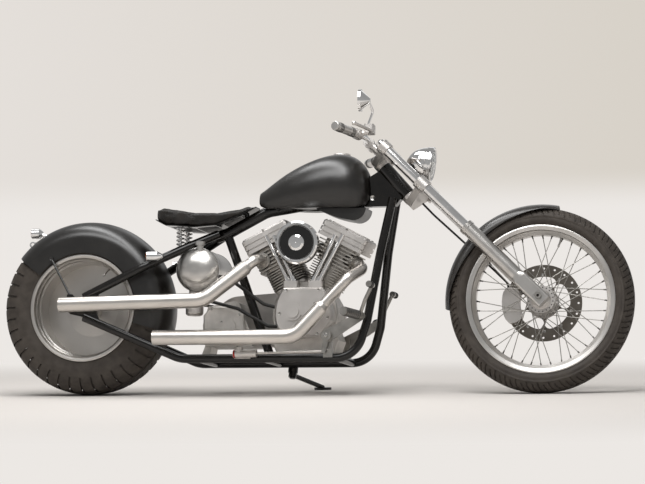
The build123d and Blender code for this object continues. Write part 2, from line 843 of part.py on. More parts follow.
with BuildPart() as front_fender:
    add(front_shell_body)
    for hand in (-1, 1):
        for s in bracket_s:
            start = front_axle + leg_dir * s + Vector(0, hand * (leg_y - slider_r - clear), 0)
            end = front_axle + leg_dir * s + Vector(0, hand * (front_fender_half - 3), 0)
            add(straight_rod(start, end, 6))
front_fender.part = turned(front_fender.part)
front_fender.part.label = "front_fender"
export_step(front_fender.part, "parts/front_fender.step")

# Tank: slim at the back, tall and round in front, straddling the top tube
# Each row is a cross-section: place along x, floor height, half width of the floor, top height
tank_sections = (
    (676, 722, 30, 772),
    (740, 708, 58, 818),
    (830, 705, 80, 872),
    (930, 705, 90, 909),
    (1010, 705, 88, 914),
    (1065, 708, 74, 888),
    (1095, 722, 52, 846),
    (1106, 745, 30, 806),
)
with BuildPart() as tank:
    for place, floor, half, top in tank_sections:
        with BuildSketch(Plane.YZ.offset(place)):
            with BuildLine():
                Line((half, floor), (-half, floor))
                ThreePointArc((-half, floor), (0, top), (half, floor))
            make_face()
    loft()
    with BuildSketch(Plane(origin=(1130, 0, 750), x_dir=(0, 1, 0), z_dir=(-460, 0, -80))):
        SlotOverall(176, 66, rotation=90)
    extrude(amount=600, mode=Mode.SUBTRACT)
    for mount in (Vector(1050, 0, 755), Vector(748, 0, 709)):
        add(straight_rod(mount - Vector(0, 36, 0), mount + Vector(0, 36, 0), 8))
    add(top_rod, mode=Mode.SUBTRACT)
tank_body = tank.part
tank.part = park(tank_body)
tank.part.label = "fuel_tank"
export_step(tank.part, "parts/fuel_tank.step")

cap_at = (985.0, 26.0)
cap_r = 33.0
cap_foot = 880.0
cap_top = 922.0
with BuildPart() as tank_cap:
    with BuildSketch(Plane.XY.offset(cap_foot)):
        with Locations(cap_at):
            Circle(cap_r)
    extrude(amount=cap_top - cap_foot)
    fillet(tank_cap.edges().group_by(Axis.Z)[-1], radius=4)
    add(tank_body, mode=Mode.SUBTRACT)
tank_cap.part = park(tank_cap.part)
tank_cap.part.label = "fuel_cap"
export_step(tank_cap.part, "parts/fuel_cap.step")

# Seat: thin pan on two springs and a nose post, with a padded top
pan_line = ((266, 672), (330, 640), (440, 632), (520, 642), (600, 680), (662, 714))
pan_thick = 4.0
pad_line = ((658, 728), (600, 706), (520, 688), (440, 686), (350, 700), (276, 716))


def seat_plan(inset):
    with BuildSketch(Plane.XY.offset(600)) as plan:
        with BuildLine():
            Line((662 - inset, 0), (662 - inset, 36 - inset))
            ThreePointArc((662 - inset, 36 - inset), (540, 84 - inset), (410, 134 - inset))
            ThreePointArc((410, 134 - inset), (302, 104 - inset), (266 + inset, 0))
            Line((266 + inset, 0), (662 - inset, 0))
        make_face()
        mirror(about=Plane.XZ)
    return plan.sketch


with BuildPart() as seat_pan:
    with BuildSketch(Plane.XY.offset(640)):
        with Locations((620, 0)):
            Circle(9)
    extrude(amount=80)
    with BuildSketch(side(140)):
        with BuildLine():
            Polyline(*pan_line, (662, 800), (266, 800), close=True)
        make_face()
    extrude(amount=280, mode=Mode.SUBTRACT)
    with BuildSketch(side(140)):
        with BuildLine():
            Polyline(*pan_line, *[(x, z + pan_thick) for x, z in reversed(pan_line)], close=True)
        make_face()
    extrude(amount=280)
    extrude(seat_plan(0), amount=200, mode=Mode.INTERSECT)
    add(top_rod, mode=Mode.SUBTRACT)
seat_pan_body = seat_pan.part.solids().sort_by(SortBy.VOLUME)[-1]
seat_pan.part = park(Part() + seat_pan_body)
seat_pan.part.label = "seat_pan"
export_step(seat_pan.part, "parts/seat_pan.step")

with BuildPart() as seat_pad:
    with BuildSketch(side(140)):
        with BuildLine():
            Polyline(*[(x, z + pan_thick + clear) for x, z in pan_line], *pad_line, close=True)
        make_face()
    extrude(amount=280)
    extrude(seat_plan(2), amount=200, mode=Mode.INTERSECT)
seat_pad.part = park(seat_pad.part)
seat_pad.part.label = "seat_cushion"
export_step(seat_pad.part, "parts/seat_cushion.step")

# Seat springs: coils from the bar up to the pan
spring_y = 58.0
spring_r = 17.0
spring_foot = seat_bar_z + seat_bar_r - 0.5
coil_count = 5
spring_top = 636.0
coil_pitch = (spring_top - spring_foot - 8) / coil_count
with BuildPart() as springs:
    for hand in (-1, 1):
        spring_at = (seat_bar_x, hand * spring_y, spring_foot)
        with BuildSketch(Plane(origin=spring_at, x_dir=(1, 0, 0), z_dir=(0, -1, 0))):
            with BuildLine():
                Line((0, 0), (spring_r, 0))
                Line((spring_r, 0), (spring_r, 4))
                for coil in range(coil_count):
                    low = 4 + coil * coil_pitch
                    Line((spring_r, low), (spring_r - 9, low + coil_pitch / 2))
                    Line((spring_r - 9, low + coil_pitch / 2), (spring_r, low + coil_pitch))
                Line((spring_r, 4 + coil_count * coil_pitch), (spring_r, 8 + coil_count * coil_pitch))
                Line((spring_r, 8 + coil_count * coil_pitch), (0, 8 + coil_count * coil_pitch))
                Line((0, 8 + coil_count * coil_pitch), (0, 0))
            make_face()
        revolve(axis=Axis(origin=spring_at, direction=(0, 0, 1)))
    add(seat_pan_body, mode=Mode.SUBTRACT)
    with BuildSketch(side(rail_y)):
        with Locations((seat_bar_x, seat_bar_z)):
            Circle(seat_bar_r)
    extrude(amount=2 * rail_y, mode=Mode.SUBTRACT)
springs.part = park(springs.part)
springs.part.label = "seat_springs"
export_step(springs.part, "parts/seat_springs.step")

# Planes across each cylinder's leaning axis, at a distance from the crank
def barrel_plane(s, hand):
    lean_dir = Vector(hand * sin(radians(vee_half)), 0, cos(radians(vee_half)))
    origin = Vector(crank_x, 0, crank_z) + lean_dir * s
    return Plane(origin=origin, x_dir=(0, -1, 0), z_dir=lean_dir)


# Crankcase: round belly on a mounting foot, with a deck under each cylinder
case_half = 62.0
case_r = 128.0
barrel_foot = 129.0
with BuildPart() as crankcase:
    with BuildSketch(side(case_half)):
        with Locations((crank_x, crank_z)):
            Circle(case_r)
        with BuildLine():
            Polyline((760, 145), (980, 145), (1000, 200), (960, 300), (760, 300), (735, 200), close=True)
        make_face()
    extrude(amount=2 * case_half)
    chamfer(crankcase.faces().sort_by(Axis.Y)[0].edges() + crankcase.faces().sort_by(Axis.Y)[-1].edges(), length=4)
    for hand in (-1, 1):
        with BuildSketch(barrel_plane(barrel_foot - 34, hand)):
            RectangleRounded(118, 132, 24)
        extrude(amount=34 - clear)
crankcase_body = crankcase.part
crankcase.part = park(crankcase_body)
crankcase.part.label = "crankcase"
export_step(crankcase.part, "parts/crankcase.step")

# Cam cover on the right, with a round boss, a rib up its middle and two tappet blocks on top
cam_thick = 55.0
tappet_top = 424.0
with BuildPart() as cam_cover:
    with BuildSketch(side(-case_half - clear)):
        with BuildLine():
            Line((790, 210), (940, 210))
            Line((940, 210), (985, 270))
            ThreePointArc((985, 270), (975, 345), (940, 400))
            Line((940, 400), (792, 400))
            ThreePointArc((792, 400), (762, 340), (765, 250))
            Line((765, 250), (790, 210))
        make_face()
    extrude(amount=cam_thick - clear)
    chamfer(cam_cover.faces().sort_by(Axis.Y)[0].edges(), length=9)
    with BuildSketch(side(-case_half - cam_thick)):
        with Locations((832, 306)):
            Circle(34)
        with Locations((904, 318)):
            Circle(46)
    extrude(amount=7)
    with BuildSketch(side(-case_half - cam_thick - 7)):
        with Locations((832, 306)):
            Circle(24)
    extrude(amount=5)
    with BuildSketch(Plane.XY.offset(396)):
        with Locations((818, -92), (914, -92)):
            RectangleRounded(58, 38, 8)
    extrude(amount=tappet_top - 396)
    add(crankcase_body, mode=Mode.SUBTRACT)
cam_cover_body = cam_cover.part
cam_cover.part = park(cam_cover_body)
cam_cover.part.label = "cam_cover"
export_step(cam_cover.part, "parts/cam_cover.step")

# Cylinders: finned barrel, finned head with its exhaust port, and a rocker box in three layers
barrel_fins = 8
barrel_fin_pitch = 10.0
head_foot = 211.0
head_high = 88.0
head_fins = 6
head_fin_pitch = 13.5
port_r = 27.0
front_port = (Vector(1022, -30, 508), Vector(1064, -66, 488))
rear_port = (Vector(704, -40, 506), Vector(701, -78, 505))


def cylinder(hand):
    with BuildPart() as body:
        with BuildSketch(barrel_plane(barrel_foot, hand)):
            Circle(barrel_r)
        extrude(amount=head_foot - barrel_foot)
        for fin in range(barrel_fins):
            with BuildSketch(barrel_plane(barrel_foot + 5 + fin * barrel_fin_pitch, hand)):
                RectangleRounded(2 * barrel_fin_r, 2 * barrel_fin_r + 6, 36)
            extrude(amount=3.5)
    return body.part


def head(hand, port):
    with BuildPart() as body:
        with BuildSketch(barrel_plane(head_foot, hand)):
            RectangleRounded(108, 128, 20)
        extrude(amount=head_high)
        for fin in range(head_fins):
            with BuildSketch(barrel_plane(head_foot + 6 + fin * head_fin_pitch, hand)):
                RectangleRounded(150, 176, 26)
            extrude(amount=5)
        add(straight_rod(port[0], port[1], port_r))
    return body.part


# Each row is a layer: how far it starts above the head, its height, width and length
rocker_layers = ((0, 13, 172, 194), (13, 5, 160, 182), (18, 16, 172, 194), (34, 4, 162, 184), (38, 24, 172, 194))


def rocker_box(hand):
    foot = head_foot + head_high
    with BuildPart() as body:
        for start, height, width, length in rocker_layers:
            with BuildSketch(barrel_plane(foot + start, hand)):
                RectangleRounded(width, length, 16)
            extrude(amount=height)
        up = Axis(origin=(0, 0, 0), direction=barrel_plane(0, hand).z_dir)
        chamfer(body.faces().sort_by(up)[-1].edges(), length=7)
        with BuildSketch(barrel_plane(foot + 62, hand)):
            RectangleRounded(118, 140, 12)
        extrude(amount=4)
    return body.part


front_cylinder_body = cylinder(1)
rear_cylinder_body = cylinder(-1)
front_head_body = head(1, front_port)
rear_head_body = head(-1, rear_port)
front_box_body = rocker_box(1)
rear_box_body = rocker_box(-1)
with BuildPart() as cylinders:
    add(front_cylinder_body)
    add(front_head_body)
    add(rear_cylinder_body)
    add(rear_head_body)
cylinders.part = park(cylinders.part)
cylinders.part.label = "cylinders"
export_step(cylinders.part, "parts/cylinders.step")
with BuildPart() as rocker_boxes:
    add(front_box_body)
    add(rear_box_body)
rocker_boxes.part = park(rocker_boxes.part)
rocker_boxes.part.label = "rocker_boxes"
export_step(rocker_boxes.part, "parts/rocker_boxes.step")

# Pushrod tubes outside the fins on the right, each with a collar at its foot
# Each row is a tube: x at the tappet block and x under the rocker box
pushrod_rows = ((904, 986), (926, 1016), (828, 746), (806, 716))
pushrod_y_low = -94.0
pushrod_y_high = -86.0
with BuildPart() as pushrods:
    for x_low, x_high in pushrod_rows:
        foot = Vector(x_low, pushrod_y_low, tappet_top)
        head_end = Vector(x_high, pushrod_y_high, 600)
        up = (head_end - foot).normalized()
        add(straight_rod(foot - up * 8, head_end, 8))
        add(straight_rod(foot - up * 8, foot + up * 16, 11))
    add(front_box_body, mode=Mode.SUBTRACT)
    add(rear_box_body, mode=Mode.SUBTRACT)
    with BuildSketch(Plane.XY.offset(tappet_top - 40)):
        with Locations((crank_x, pushrod_y_low)):
            Rectangle(300, 80)
    extrude(amount=40 + 0.1, mode=Mode.SUBTRACT)
    add(front_head_body, mode=Mode.SUBTRACT)
    add(rear_head_body, mode=Mode.SUBTRACT)
pushrod_tubes = [solid for solid in pushrods.part.solids() if solid.bounding_box().min.Z < tappet_top + 30]
pushrods.part = park(Part() + pushrod_tubes)
pushrods.part.label = "pushrod_tubes"
export_step(pushrods.part, "parts/pushrod_tubes.step")

# Carburettor between the cylinders, its manifold to both heads, and the round air cleaner on its right
carb_z = 572.0
cleaner_x = crank_x - 16
cleaner_z = 565.0
cleaner_r = 82.0
cleaner_in = -112.0
cleaner_thick = 44.0
with BuildPart() as intake:
    with BuildSketch(side(-16)):
        with Locations((crank_x - 6, carb_z)):
            Circle(27)
    extrude(amount=-cleaner_in - 16 - clear)
    with BuildSketch(Plane.XY.offset(carb_z - 48)):
        with Locations((crank_x - 6, -72)):
            Circle(24)
    extrude(amount=80)
    for hand in (-1, 1):
        add(straight_rod(Vector(crank_x - 6, -24, carb_z), Vector(crank_x + hand * 64, -12, carb_z - 20), 20))
    add(front_head_body, mode=Mode.SUBTRACT)
    add(rear_head_body, mode=Mode.SUBTRACT)
    add(front_box_body, mode=Mode.SUBTRACT)
    add(rear_box_body, mode=Mode.SUBTRACT)
intake_body = intake.part.solids().sort_by(SortBy.VOLUME)[-1]
intake.part = park(Part() + intake_body)
intake.part.label = "carburettor"
export_step(intake.part, "parts/carburettor.step")
with BuildPart() as air_cleaner:
    with BuildSketch(Plane(origin=(cleaner_x, cleaner_in, cleaner_z), x_dir=(1, 0, 0), z_dir=(0, 0, 1))):
        with BuildLine():
            Polyline(
                (0, 0),
                (cleaner_r - 10, 0),
                (cleaner_r, -8),
                (cleaner_r, 5 - cleaner_thick),
                (cleaner_r - 6, -cleaner_thick),
                (cleaner_r - 13, -cleaner_thick),
                (cleaner_r - 17, 6 - cleaner_thick),
                (30, 4 - cleaner_thick),
                (30, -cleaner_thick),
                (22, -cleaner_thick - 6),
                (0, -cleaner_thick - 8),
                close=True,
            )
        make_face()
    revolve(axis=Axis(origin=(cleaner_x, cleaner_in, cleaner_z), direction=(0, 1, 0)))
    for body in (front_box_body, rear_box_body, front_head_body, rear_head_body):
        add(body, mode=Mode.SUBTRACT)
air_cleaner.part = park(Part() + air_cleaner.part.solids().sort_by(SortBy.VOLUME)[-1])
air_cleaner.part.label = "air_cleaner"
export_step(air_cleaner.part, "parts/air_cleaner.step")

# Gearbox behind the engine, its cover on the right
with BuildPart() as gearbox:
    with BuildSketch(side(100)):
        with BuildLine():
            Polyline(
                (480, 180), (664, 180), (664, 215), (612, 344), (592, 352), (490, 330), (470, 260),
                close=True,
            )
        make_face()
    extrude(amount=180)
    with BuildSketch(side(50)):
        with BuildLine():
            Polyline((452, rail_z), (488, rail_z), (500, 192), (476, 192), close=True)
        make_face()
    extrude(amount=100)
    with BuildSketch(side(30)):
        with BuildLine():
            Polyline((640, 196), (706, 196), (694, 230), (640, 230), close=True)
        make_face()
    extrude(amount=60)
    add(post, mode=Mode.SUBTRACT)
    add(cross_tubes_body, mode=Mode.SUBTRACT)
gearbox.part = park(Part() + gearbox.part.solids().sort_by(SortBy.VOLUME)[-1])
gearbox.part.label = "gearbox"
export_step(gearbox.part, "parts/gearbox.step")
with BuildPart() as gearbox_cover:
    with BuildSketch(side(-80)):
        with BuildLine():
            Polyline(
                (478, 222), (512, 186), (618, 186), (646, 212), (634, 300), (604, 330), (506, 330), (478, 296),
                close=True,
            )
        make_face()
    extrude(amount=24)
    chamfer(gearbox_cover.faces().sort_by(Axis.Y)[0].edges(), length=5)
    with BuildSketch(side(-104)):
        with Locations((570, 252)):
            Circle(36)
    extrude(amount=7)
gearbox_cover.part = park(gearbox_cover.part)
gearbox_cover.part.label = "gearbox_cover"
export_step(gearbox_cover.part, "parts/gearbox_cover.step")

# Primary drive cover on the left, with a round clutch cover and an oval window's lid
drive_x = 560.0
drive_z = 292.0
primary_out = 175.0
primary_in = 142.0
with BuildPart() as primary:
    with BuildSketch(side(primary_out)):
        with Locations((crank_x, crank_z)):
            Circle(112)
        with Locations((drive_x, drive_z)):
            Circle(98)
        make_hull()
    extrude(amount=primary_out - primary_in)
    chamfer(primary.faces().sort_by(Axis.Y)[-1].edges(), length=8)
    with BuildSketch(side(primary_out + 6)):
        with Locations((drive_x, drive_z)):
            Circle(62)
        with Locations((crank_x - 20, crank_z)):
            SlotOverall(110, 44)
    extrude(amount=8)
    with BuildSketch(side(primary_in)):
        with Locations((crank_x, crank_z)):
            Circle(104)
    extrude(amount=primary_in - case_half - clear)
primary.part = park(primary.part)
primary.part.label = "primary_cover"
export_step(primary.part, "parts/primary_cover.step")

# Round oil tank across the frame, with domed ends, a filler neck and its cap
oil_x = 455.0
oil_z = 470.0
oil_r = 84.0
oil_half = 132.0
with BuildPart() as oil_tank:
    with BuildSketch(Plane(origin=(oil_x, 0, oil_z), x_dir=(1, 0, 0), z_dir=(0, 0, 1))):
        with BuildLine():
            Line((0, oil_half + 10), (0, -oil_half - 12))
            ThreePointArc((0, -oil_half - 12), (oil_r - 36, -oil_half - 4), (oil_r, -oil_half + 26))
            Line((oil_r, -oil_half + 26), (oil_r, oil_half - 26))
            ThreePointArc((oil_r, oil_half - 26), (oil_r - 36, oil_half + 2), (0, oil_half + 10))
        make_face()
    revolve(axis=Axis(origin=(oil_x, 0, oil_z), direction=(0, 1, 0)))
    with BuildSketch(Plane.XY.offset(oil_z)):
        with Locations((oil_x + 8, -108)):
            Circle(13)
    extrude(amount=oil_r + 22)
    with BuildSketch(Plane.XY.offset(oil_z + oil_r + 10)):
        with Locations((oil_x + 8, -108)):
            Circle(19)
    extrude(amount=14)
    for body in (right_high, left_high):
        add(body, mode=Mode.SUBTRACT)
oil_tank_body = oil_tank.part.solids().sort_by(SortBy.VOLUME)[-1]
oil_tank.part = park(Part() + oil_tank_body)
oil_tank.part.label = "oil_tank"
export_step(oil_tank.part, "parts/oil_tank.step")

# Exhaust: two pipes. A slim header leaves each port and opens into a wide straight pipe with an open end
pipe_r = 28.5
pipe_bore_r = 26.5
header_r = 21.0
pipe_y = -222.0
cone_long = 16.0


def exhaust(main_points, lead, port, port_reach, bend, header_bend):
    join = main_points[-1]
    last = (join - main_points[-2]).normalized()
    port_dir = (port[1] - port[0]).normalized()
    header_points = [join, join + last * lead, port[1] + port_dir * port_reach, port[1]]
    end_plane = Plane(origin=join, z_dir=last)
    with BuildPart() as run:
        add(bent_rod(main_points, pipe_r, bend, pipe_bore_r))
        with BuildSketch(end_plane.offset(-0.5)):
            Circle(pipe_r)
        with BuildSketch(end_plane.offset(cone_long)):
            Circle(header_r)
        loft()
        add(bent_rod(header_points, header_r, header_bend))
    return run.part


upper_pipe_body = exhaust(
    [Vector(-58, pipe_y, 331), Vector(506, pipe_y, 343), Vector(655, -168, 470)], 46, rear_port, 34, 90, 25
)
lower_pipe_body = exhaust(
    [Vector(314, pipe_y, 203), Vector(860, pipe_y, 203), Vector(958, -199, 314)], 150, front_port, 52, 80, 34
)
with BuildPart() as upper_pipe:
    add(upper_pipe_body)
upper_pipe.part = park(upper_pipe.part)
upper_pipe.part.label = "upper_exhaust_pipe"
export_step(upper_pipe.part, "parts/upper_exhaust_pipe.step")
with BuildPart() as lower_pipe:
    add(lower_pipe_body)
lower_pipe.part = park(lower_pipe.part)
lower_pipe.part.label = "lower_exhaust_pipe"
export_step(lower_pipe.part, "parts/lower_exhaust_pipe.step")

# Final drive chain: a roller band round both chain wheels with an outer link at every other pitch
front_teeth = 15
front_wheel_r = chain_pitch / 2 / sin(pi / front_teeth)
chain_half = 8.0
link_high = 12.4
link_long = chain_pitch + 7.5
run_from = Vector(0, 0, rear_axle_z)
run_to = Vector(drive_x, 0, drive_z)
run_length = (run_to - run_from).length
run_tilt = degrees(asin((run_to.Z - run_from.Z) / run_length))
wrap_tilt = degrees(asin((chain_wheel_r - front_wheel_r) / run_length))
straight = run_length * cos(radians(wrap_tilt))
with BuildPart() as chain:
    for grow, mode in ((roller_r - 1, Mode.ADD), (-roller_r + 1, Mode.SUBTRACT)):
        with BuildSketch(side(chain_y + 4)):
            with Locations((0, rear_axle_z)):
                Circle(chain_wheel_r + grow)
            with Locations((drive_x, drive_z)):
                Circle(front_wheel_r + grow)
            make_hull()
        extrude(amount=8, mode=mode)
    with BuildSketch(side(chain_y + chain_half)):
        for hand in (-1, 1):
            tangent = run_tilt - hand * wrap_tilt
            normal = tangent + hand * 90
            start_x = chain_wheel_r * cos(radians(normal))
            start_z = rear_axle_z + chain_wheel_r * sin(radians(normal))
            for link in range(int(straight / chain_pitch / 2)):
                along = (2 * link + 1) * chain_pitch
                with Locations(
                    Location((start_x + along * cos(radians(tangent)), start_z + along * sin(radians(tangent)), 0),
                             (0, 0, tangent))
                ):
                    Rectangle(link_long, link_high)
        rear_step = 720 / chain_teeth
        first = 90 + run_tilt - wrap_tilt
        for link in range(int((180 + 2 * wrap_tilt) / rear_step) + 1):
            at = first + link * rear_step
            with Locations(
                Location((chain_wheel_r * cos(radians(at)), rear_axle_z + chain_wheel_r * sin(radians(at)), 0),
                         (0, 0, at + 90))
            ):
                Rectangle(link_long, link_high)
        front_step = 720 / front_teeth
        for link in range(4):
            at = run_tilt - 72 + link * front_step
            with Locations(
                Location((drive_x + front_wheel_r * cos(radians(at)), drive_z + front_wheel_r * sin(radians(at)), 0),
                         (0, 0, at + 90))
            ):
                Rectangle(link_long, link_high)
    extrude(amount=2 * chain_half)
    with BuildSketch(side(chain_y + wheel_thick / 2 + clear)):
        with Locations((0, rear_axle_z)):
            Circle(chain_wheel_r + 3.2 + clear)
        with Locations((drive_x, drive_z)):
            Circle(front_wheel_r)
    extrude(amount=wheel_thick + 2 * clear, mode=Mode.SUBTRACT)
chain_body = chain.part
chain.part = park(chain_body)
chain.part.label = "drive_chain"
export_step(chain.part, "parts/drive_chain.step")

# Side stand: the leg swings back under the rail about a nearly upright pin
foot_z = stand_foot_y * tan(tilt)
foot_mid = Vector(stand_foot_x, stand_foot_y, foot_z)
leg_end = foot_mid + Vector(0, -sin(tilt), cos(tilt)) * 9
stand_dir = (leg_end - stand_pivot).normalized()
pin_dir = stand_dir.cross(stand_folded_dir).normalized()
leg_rod = straight_rod(stand_pivot, leg_end, stand_eye_half)
foot_plane = Plane(origin=foot_mid, x_dir=(1, 0, 0), z_dir=(0, -sin(tilt), cos(tilt)))
eye_plane = Plane(origin=stand_pivot, x_dir=stand_dir, z_dir=pin_dir)
with BuildPart() as stand_leg:
    add(leg_rod)
    with BuildSketch(foot_plane):
        Ellipse(34, 26)
    extrude(amount=9)
    with BuildSketch(eye_plane):
        Circle(16)
    extrude(amount=stand_eye_half, both=True)
    with BuildSketch(eye_plane):
        Circle(stand_pin_r + slide_fit)
    extrude(amount=30, both=True, mode=Mode.SUBTRACT)
stand_leg.part = park(stand_leg.part)
stand_leg.part.label = "side_stand"
export_step(stand_leg.part, "parts/side_stand.step")

# Stand lug welded under the left rail, with the pin's head below the leg
with BuildPart() as stand_lug:
    with BuildSketch(eye_plane.offset(stand_eye_half + clear)):
        Circle(19)
    extrude(amount=34)
    with BuildSketch(eye_plane.offset(-stand_eye_half - clear)):
        Circle(stand_pin_r)
    extrude(amount=40)
    with BuildSketch(eye_plane.offset(-stand_eye_half - clear)):
        Circle(11)
    extrude(amount=-5)
    add(left_low, mode=Mode.SUBTRACT)
stand_lug.part = park(stand_lug.part)
stand_lug.part.label = "stand_lug"
export_step(stand_lug.part, "parts/stand_lug.step")

# Grips with rounded ends
grip_r = 17.5
grip_line = (grip_out - grip_in).normalized()
grip_bodies = [
    straight_rod(
        Vector(grip_in.X, hand * grip_in.Y, grip_in.Z) + Vector(grip_line.X, hand * grip_line.Y, grip_line.Z) * 6,
        Vector(grip_out.X, hand * grip_out.Y, grip_out.Z) + Vector(grip_line.X, hand * grip_line.Y, grip_line.Z) * 8,
        grip_r,
    )
    for hand in (-1, 1)
]
bar_cut = bent_rod(bar_points, bar_r, 60)
with BuildPart() as grips:
    for body in grip_bodies:
        add(body)
    fillet(grips.edges().filter_by(GeomType.CIRCLE), radius=4)
    add(bar_cut, mode=Mode.SUBTRACT)
grips.part = turned(grips.part)
grips.part.label = "grips"
export_step(grips.part, "parts/grips.step")

# Hand levers on their perches, the right one with the brake fluid tank
perch_bodies = []
for hand in (-1, 1):
    inner = Vector(grip_in.X, hand * grip_in.Y, grip_in.Z)
    run = Vector(grip_line.X, hand * grip_line.Y, grip_line.Z)
    clamp = straight_rod(inner - run * 26, inner - run * 2, 21)
    perch = straight_rod(inner - run * 14, inner - run * 14 + Vector(40, 0, 6), 9)
    lever = bent_rod(
        [
            inner - run * 14 + Vector(40, 0, 6),
            inner + run * 10 + Vector(66, 0, 8),
            inner + run * 112 + Vector(58, 0, 14),
        ],
        6,
        14,
    )
    perch_bodies.append((clamp, perch, lever))
with BuildPart() as hand_levers:
    for clamp, perch, lever in perch_bodies:
        add(clamp)
        add(perch)
        add(lever)
    with BuildSketch(Plane.XY.offset(grip_in.Z + 2)):
        with Locations((grip_in.X + 50, -grip_in.Y + 26)):
            RectangleRounded(36, 58, 8)
    extrude(amount=34)
    add(bar_cut, mode=Mode.SUBTRACT)
hand_levers_body = hand_levers.part
hand_levers.part = turned(hand_levers_body)
hand_levers.part.label = "hand_levers"
export_step(hand_levers.part, "parts/hand_levers.step")

# Mirror on the right: a cone head on a thin stem from the brake lever's perch
mirror_at = neck_mid + Vector(-65.206, -300, 257.142)
stem_foot = Vector(1128, -262, 968)
cone_plane = Plane(origin=mirror_at, x_dir=(0, 1, 0), z_dir=(-1, 0, 0))
with BuildPart() as mirrors:
    add(bent_rod([stem_foot, mirror_at + Vector(14, 38, -36), mirror_at], 5, 20))
    with BuildSketch(cone_plane.offset(-8)):
        Circle(8)
    with BuildSketch(cone_plane.offset(24)):
        Circle(39)
    loft()
    with BuildSketch(cone_plane.offset(24)):
        Circle(42)
    extrude(amount=10)
    with BuildSketch(cone_plane.offset(34)):
        Circle(38)
    extrude(amount=-2.5, mode=Mode.SUBTRACT)
    add(hand_levers_body, mode=Mode.SUBTRACT)
    add(bar_cut, mode=Mode.SUBTRACT)
mirrors.part = turned(Part() + mirrors.part.solids().sort_by(SortBy.VOLUME)[-1])
mirrors.part.label = "mirrors"
export_step(mirrors.part, "parts/mirrors.step")

# Front brake calliper: a kidney over the disc's rear edge, on two lugs from the left slider
grip_mid_r = 123.0
grip_wide = 66.0
grip_from = 168.0
grip_reach = 34.0
front_grip_half = 30.0
disc_plane = Plane(origin=front_axle + Vector(0, front_disc_y, 0), x_dir=(1, 0, 0), z_dir=(0, -1, 0))
with BuildPart() as front_calliper:
    with BuildSketch(disc_plane):
        with BuildLine(mode=Mode.PRIVATE):
            grip_arc = CenterArc((0, 0), grip_mid_r, grip_from, grip_reach)
        SlotArc(grip_arc, grip_wide)
    extrude(amount=front_grip_half, both=True)
    chamfer(front_calliper.faces().sort_by(Axis.Y)[-1].edges(), length=5)
    for at, s in ((174, 92), (160, 150)):
        reach = Vector(grip_mid_r * cos(radians(at)), front_disc_y + 22, grip_mid_r * sin(radians(at)))
        add(straight_rod(front_axle + leg_dir * s + Vector(0, leg_y - 12, 0), front_axle + reach, 9))
    with BuildSketch(disc_plane):
        Circle(front_disc_r + 5)
    extrude(amount=disc_thick / 2 + 1, both=True, mode=Mode.SUBTRACT)
    add(left_slider_body, mode=Mode.SUBTRACT)
    with BuildSketch(leg_plane(0, leg_y)):
        Circle(leg_tube_r + 1)
    extrude(amount=slider_top, mode=Mode.SUBTRACT)
front_calliper_body = front_calliper.part.solids().sort_by(SortBy.VOLUME)[-1]
front_calliper.part = turned(Part() + front_calliper_body)
front_calliper.part.label = "front_calliper"
export_step(front_calliper.part, "parts/front_calliper.step")

# Front brake hose from the lower tree down to the calliper
hose_body = bent_rod(
    [(1302, 30, 728), (1340, 70, 690), (1440, 84, 600), (1570, 86, 480), (1624, 88, 428), (1630, 88, 376.5)], 4, 30
)
with BuildPart() as brake_hose:
    add(hose_body)
    add(front_calliper_body, mode=Mode.SUBTRACT)
brake_hose.part = turned(Part() + brake_hose.part.solids().sort_by(SortBy.VOLUME)[-1])
brake_hose.part.label = "front_brake_hose"
export_step(brake_hose.part, "parts/front_brake_hose.step")

# Rear lamps: a barrel lamp on a stalk from the fender, a ring below it, and two bullet turn lamps on the rails
tail_x = -240.0
tail_z = 629.0
tail_r = 20.0
ring_at = (-238.0, 586.0)
turn_x = 278.0
turn_y = 190.0
turn_z = 516.0
turn_r = 18.0
turn_long = 62.0
with BuildPart() as rear_lamps:
    with BuildSketch(Plane.YZ.offset(tail_x)):
        with Locations((0, tail_z)):
            Circle(tail_r)
    extrude(amount=30)
    with BuildSketch(Plane.YZ.offset(tail_x + 30)):
        with Locations((0, tail_z)):
            Circle(tail_r)
    with BuildSketch(Plane.YZ.offset(tail_x + 42)):
        with Locations((0, tail_z)):
            Circle(9)
    loft()
    add(straight_rod(Vector(tail_x + 24, 0, tail_z), Vector(-166, 0, 612), 8))
    with BuildSketch(side(4)):
        with Locations(ring_at):
            Circle(12)
            Circle(7, mode=Mode.SUBTRACT)
    extrude(amount=8)
    add(straight_rod(Vector(ring_at[0] + 10, 0, ring_at[1] + 4), Vector(-196, 0, 604), 5))
    add(rear_shell_body, mode=Mode.SUBTRACT)
tail_pieces = [solid for solid in rear_lamps.part.solids() if solid.volume > 2000]
turn_lamps = []
for hand in (-1, 1):
    with BuildPart() as turn_lamp:
        with BuildSketch(Plane.YZ.offset(turn_x)):
            with Locations((hand * turn_y, turn_z)):
                Circle(turn_r)
        extrude(amount=turn_long - 22)
        with BuildSketch(Plane.YZ.offset(turn_x + turn_long - 22)):
            with Locations((hand * turn_y, turn_z)):
                Circle(turn_r)
        with BuildSketch(Plane.YZ.offset(turn_x + turn_long)):
            with Locations((hand * turn_y, turn_z)):
                Circle(6)
        loft()
        add(straight_rod((turn_x + 30, hand * 138, 506), (turn_x + 30, hand * (turn_y - 6), turn_z), 6))
        add(right_high, mode=Mode.SUBTRACT)
        add(left_high, mode=Mode.SUBTRACT)
    turn_lamps.append(turn_lamp.part.solids().sort_by(SortBy.VOLUME)[-1])
rear_lamps.part = park(Part() + tail_pieces + turn_lamps)
rear_lamps.part.label = "rear_lamps"
export_step(rear_lamps.part, "parts/rear_lamps.step")

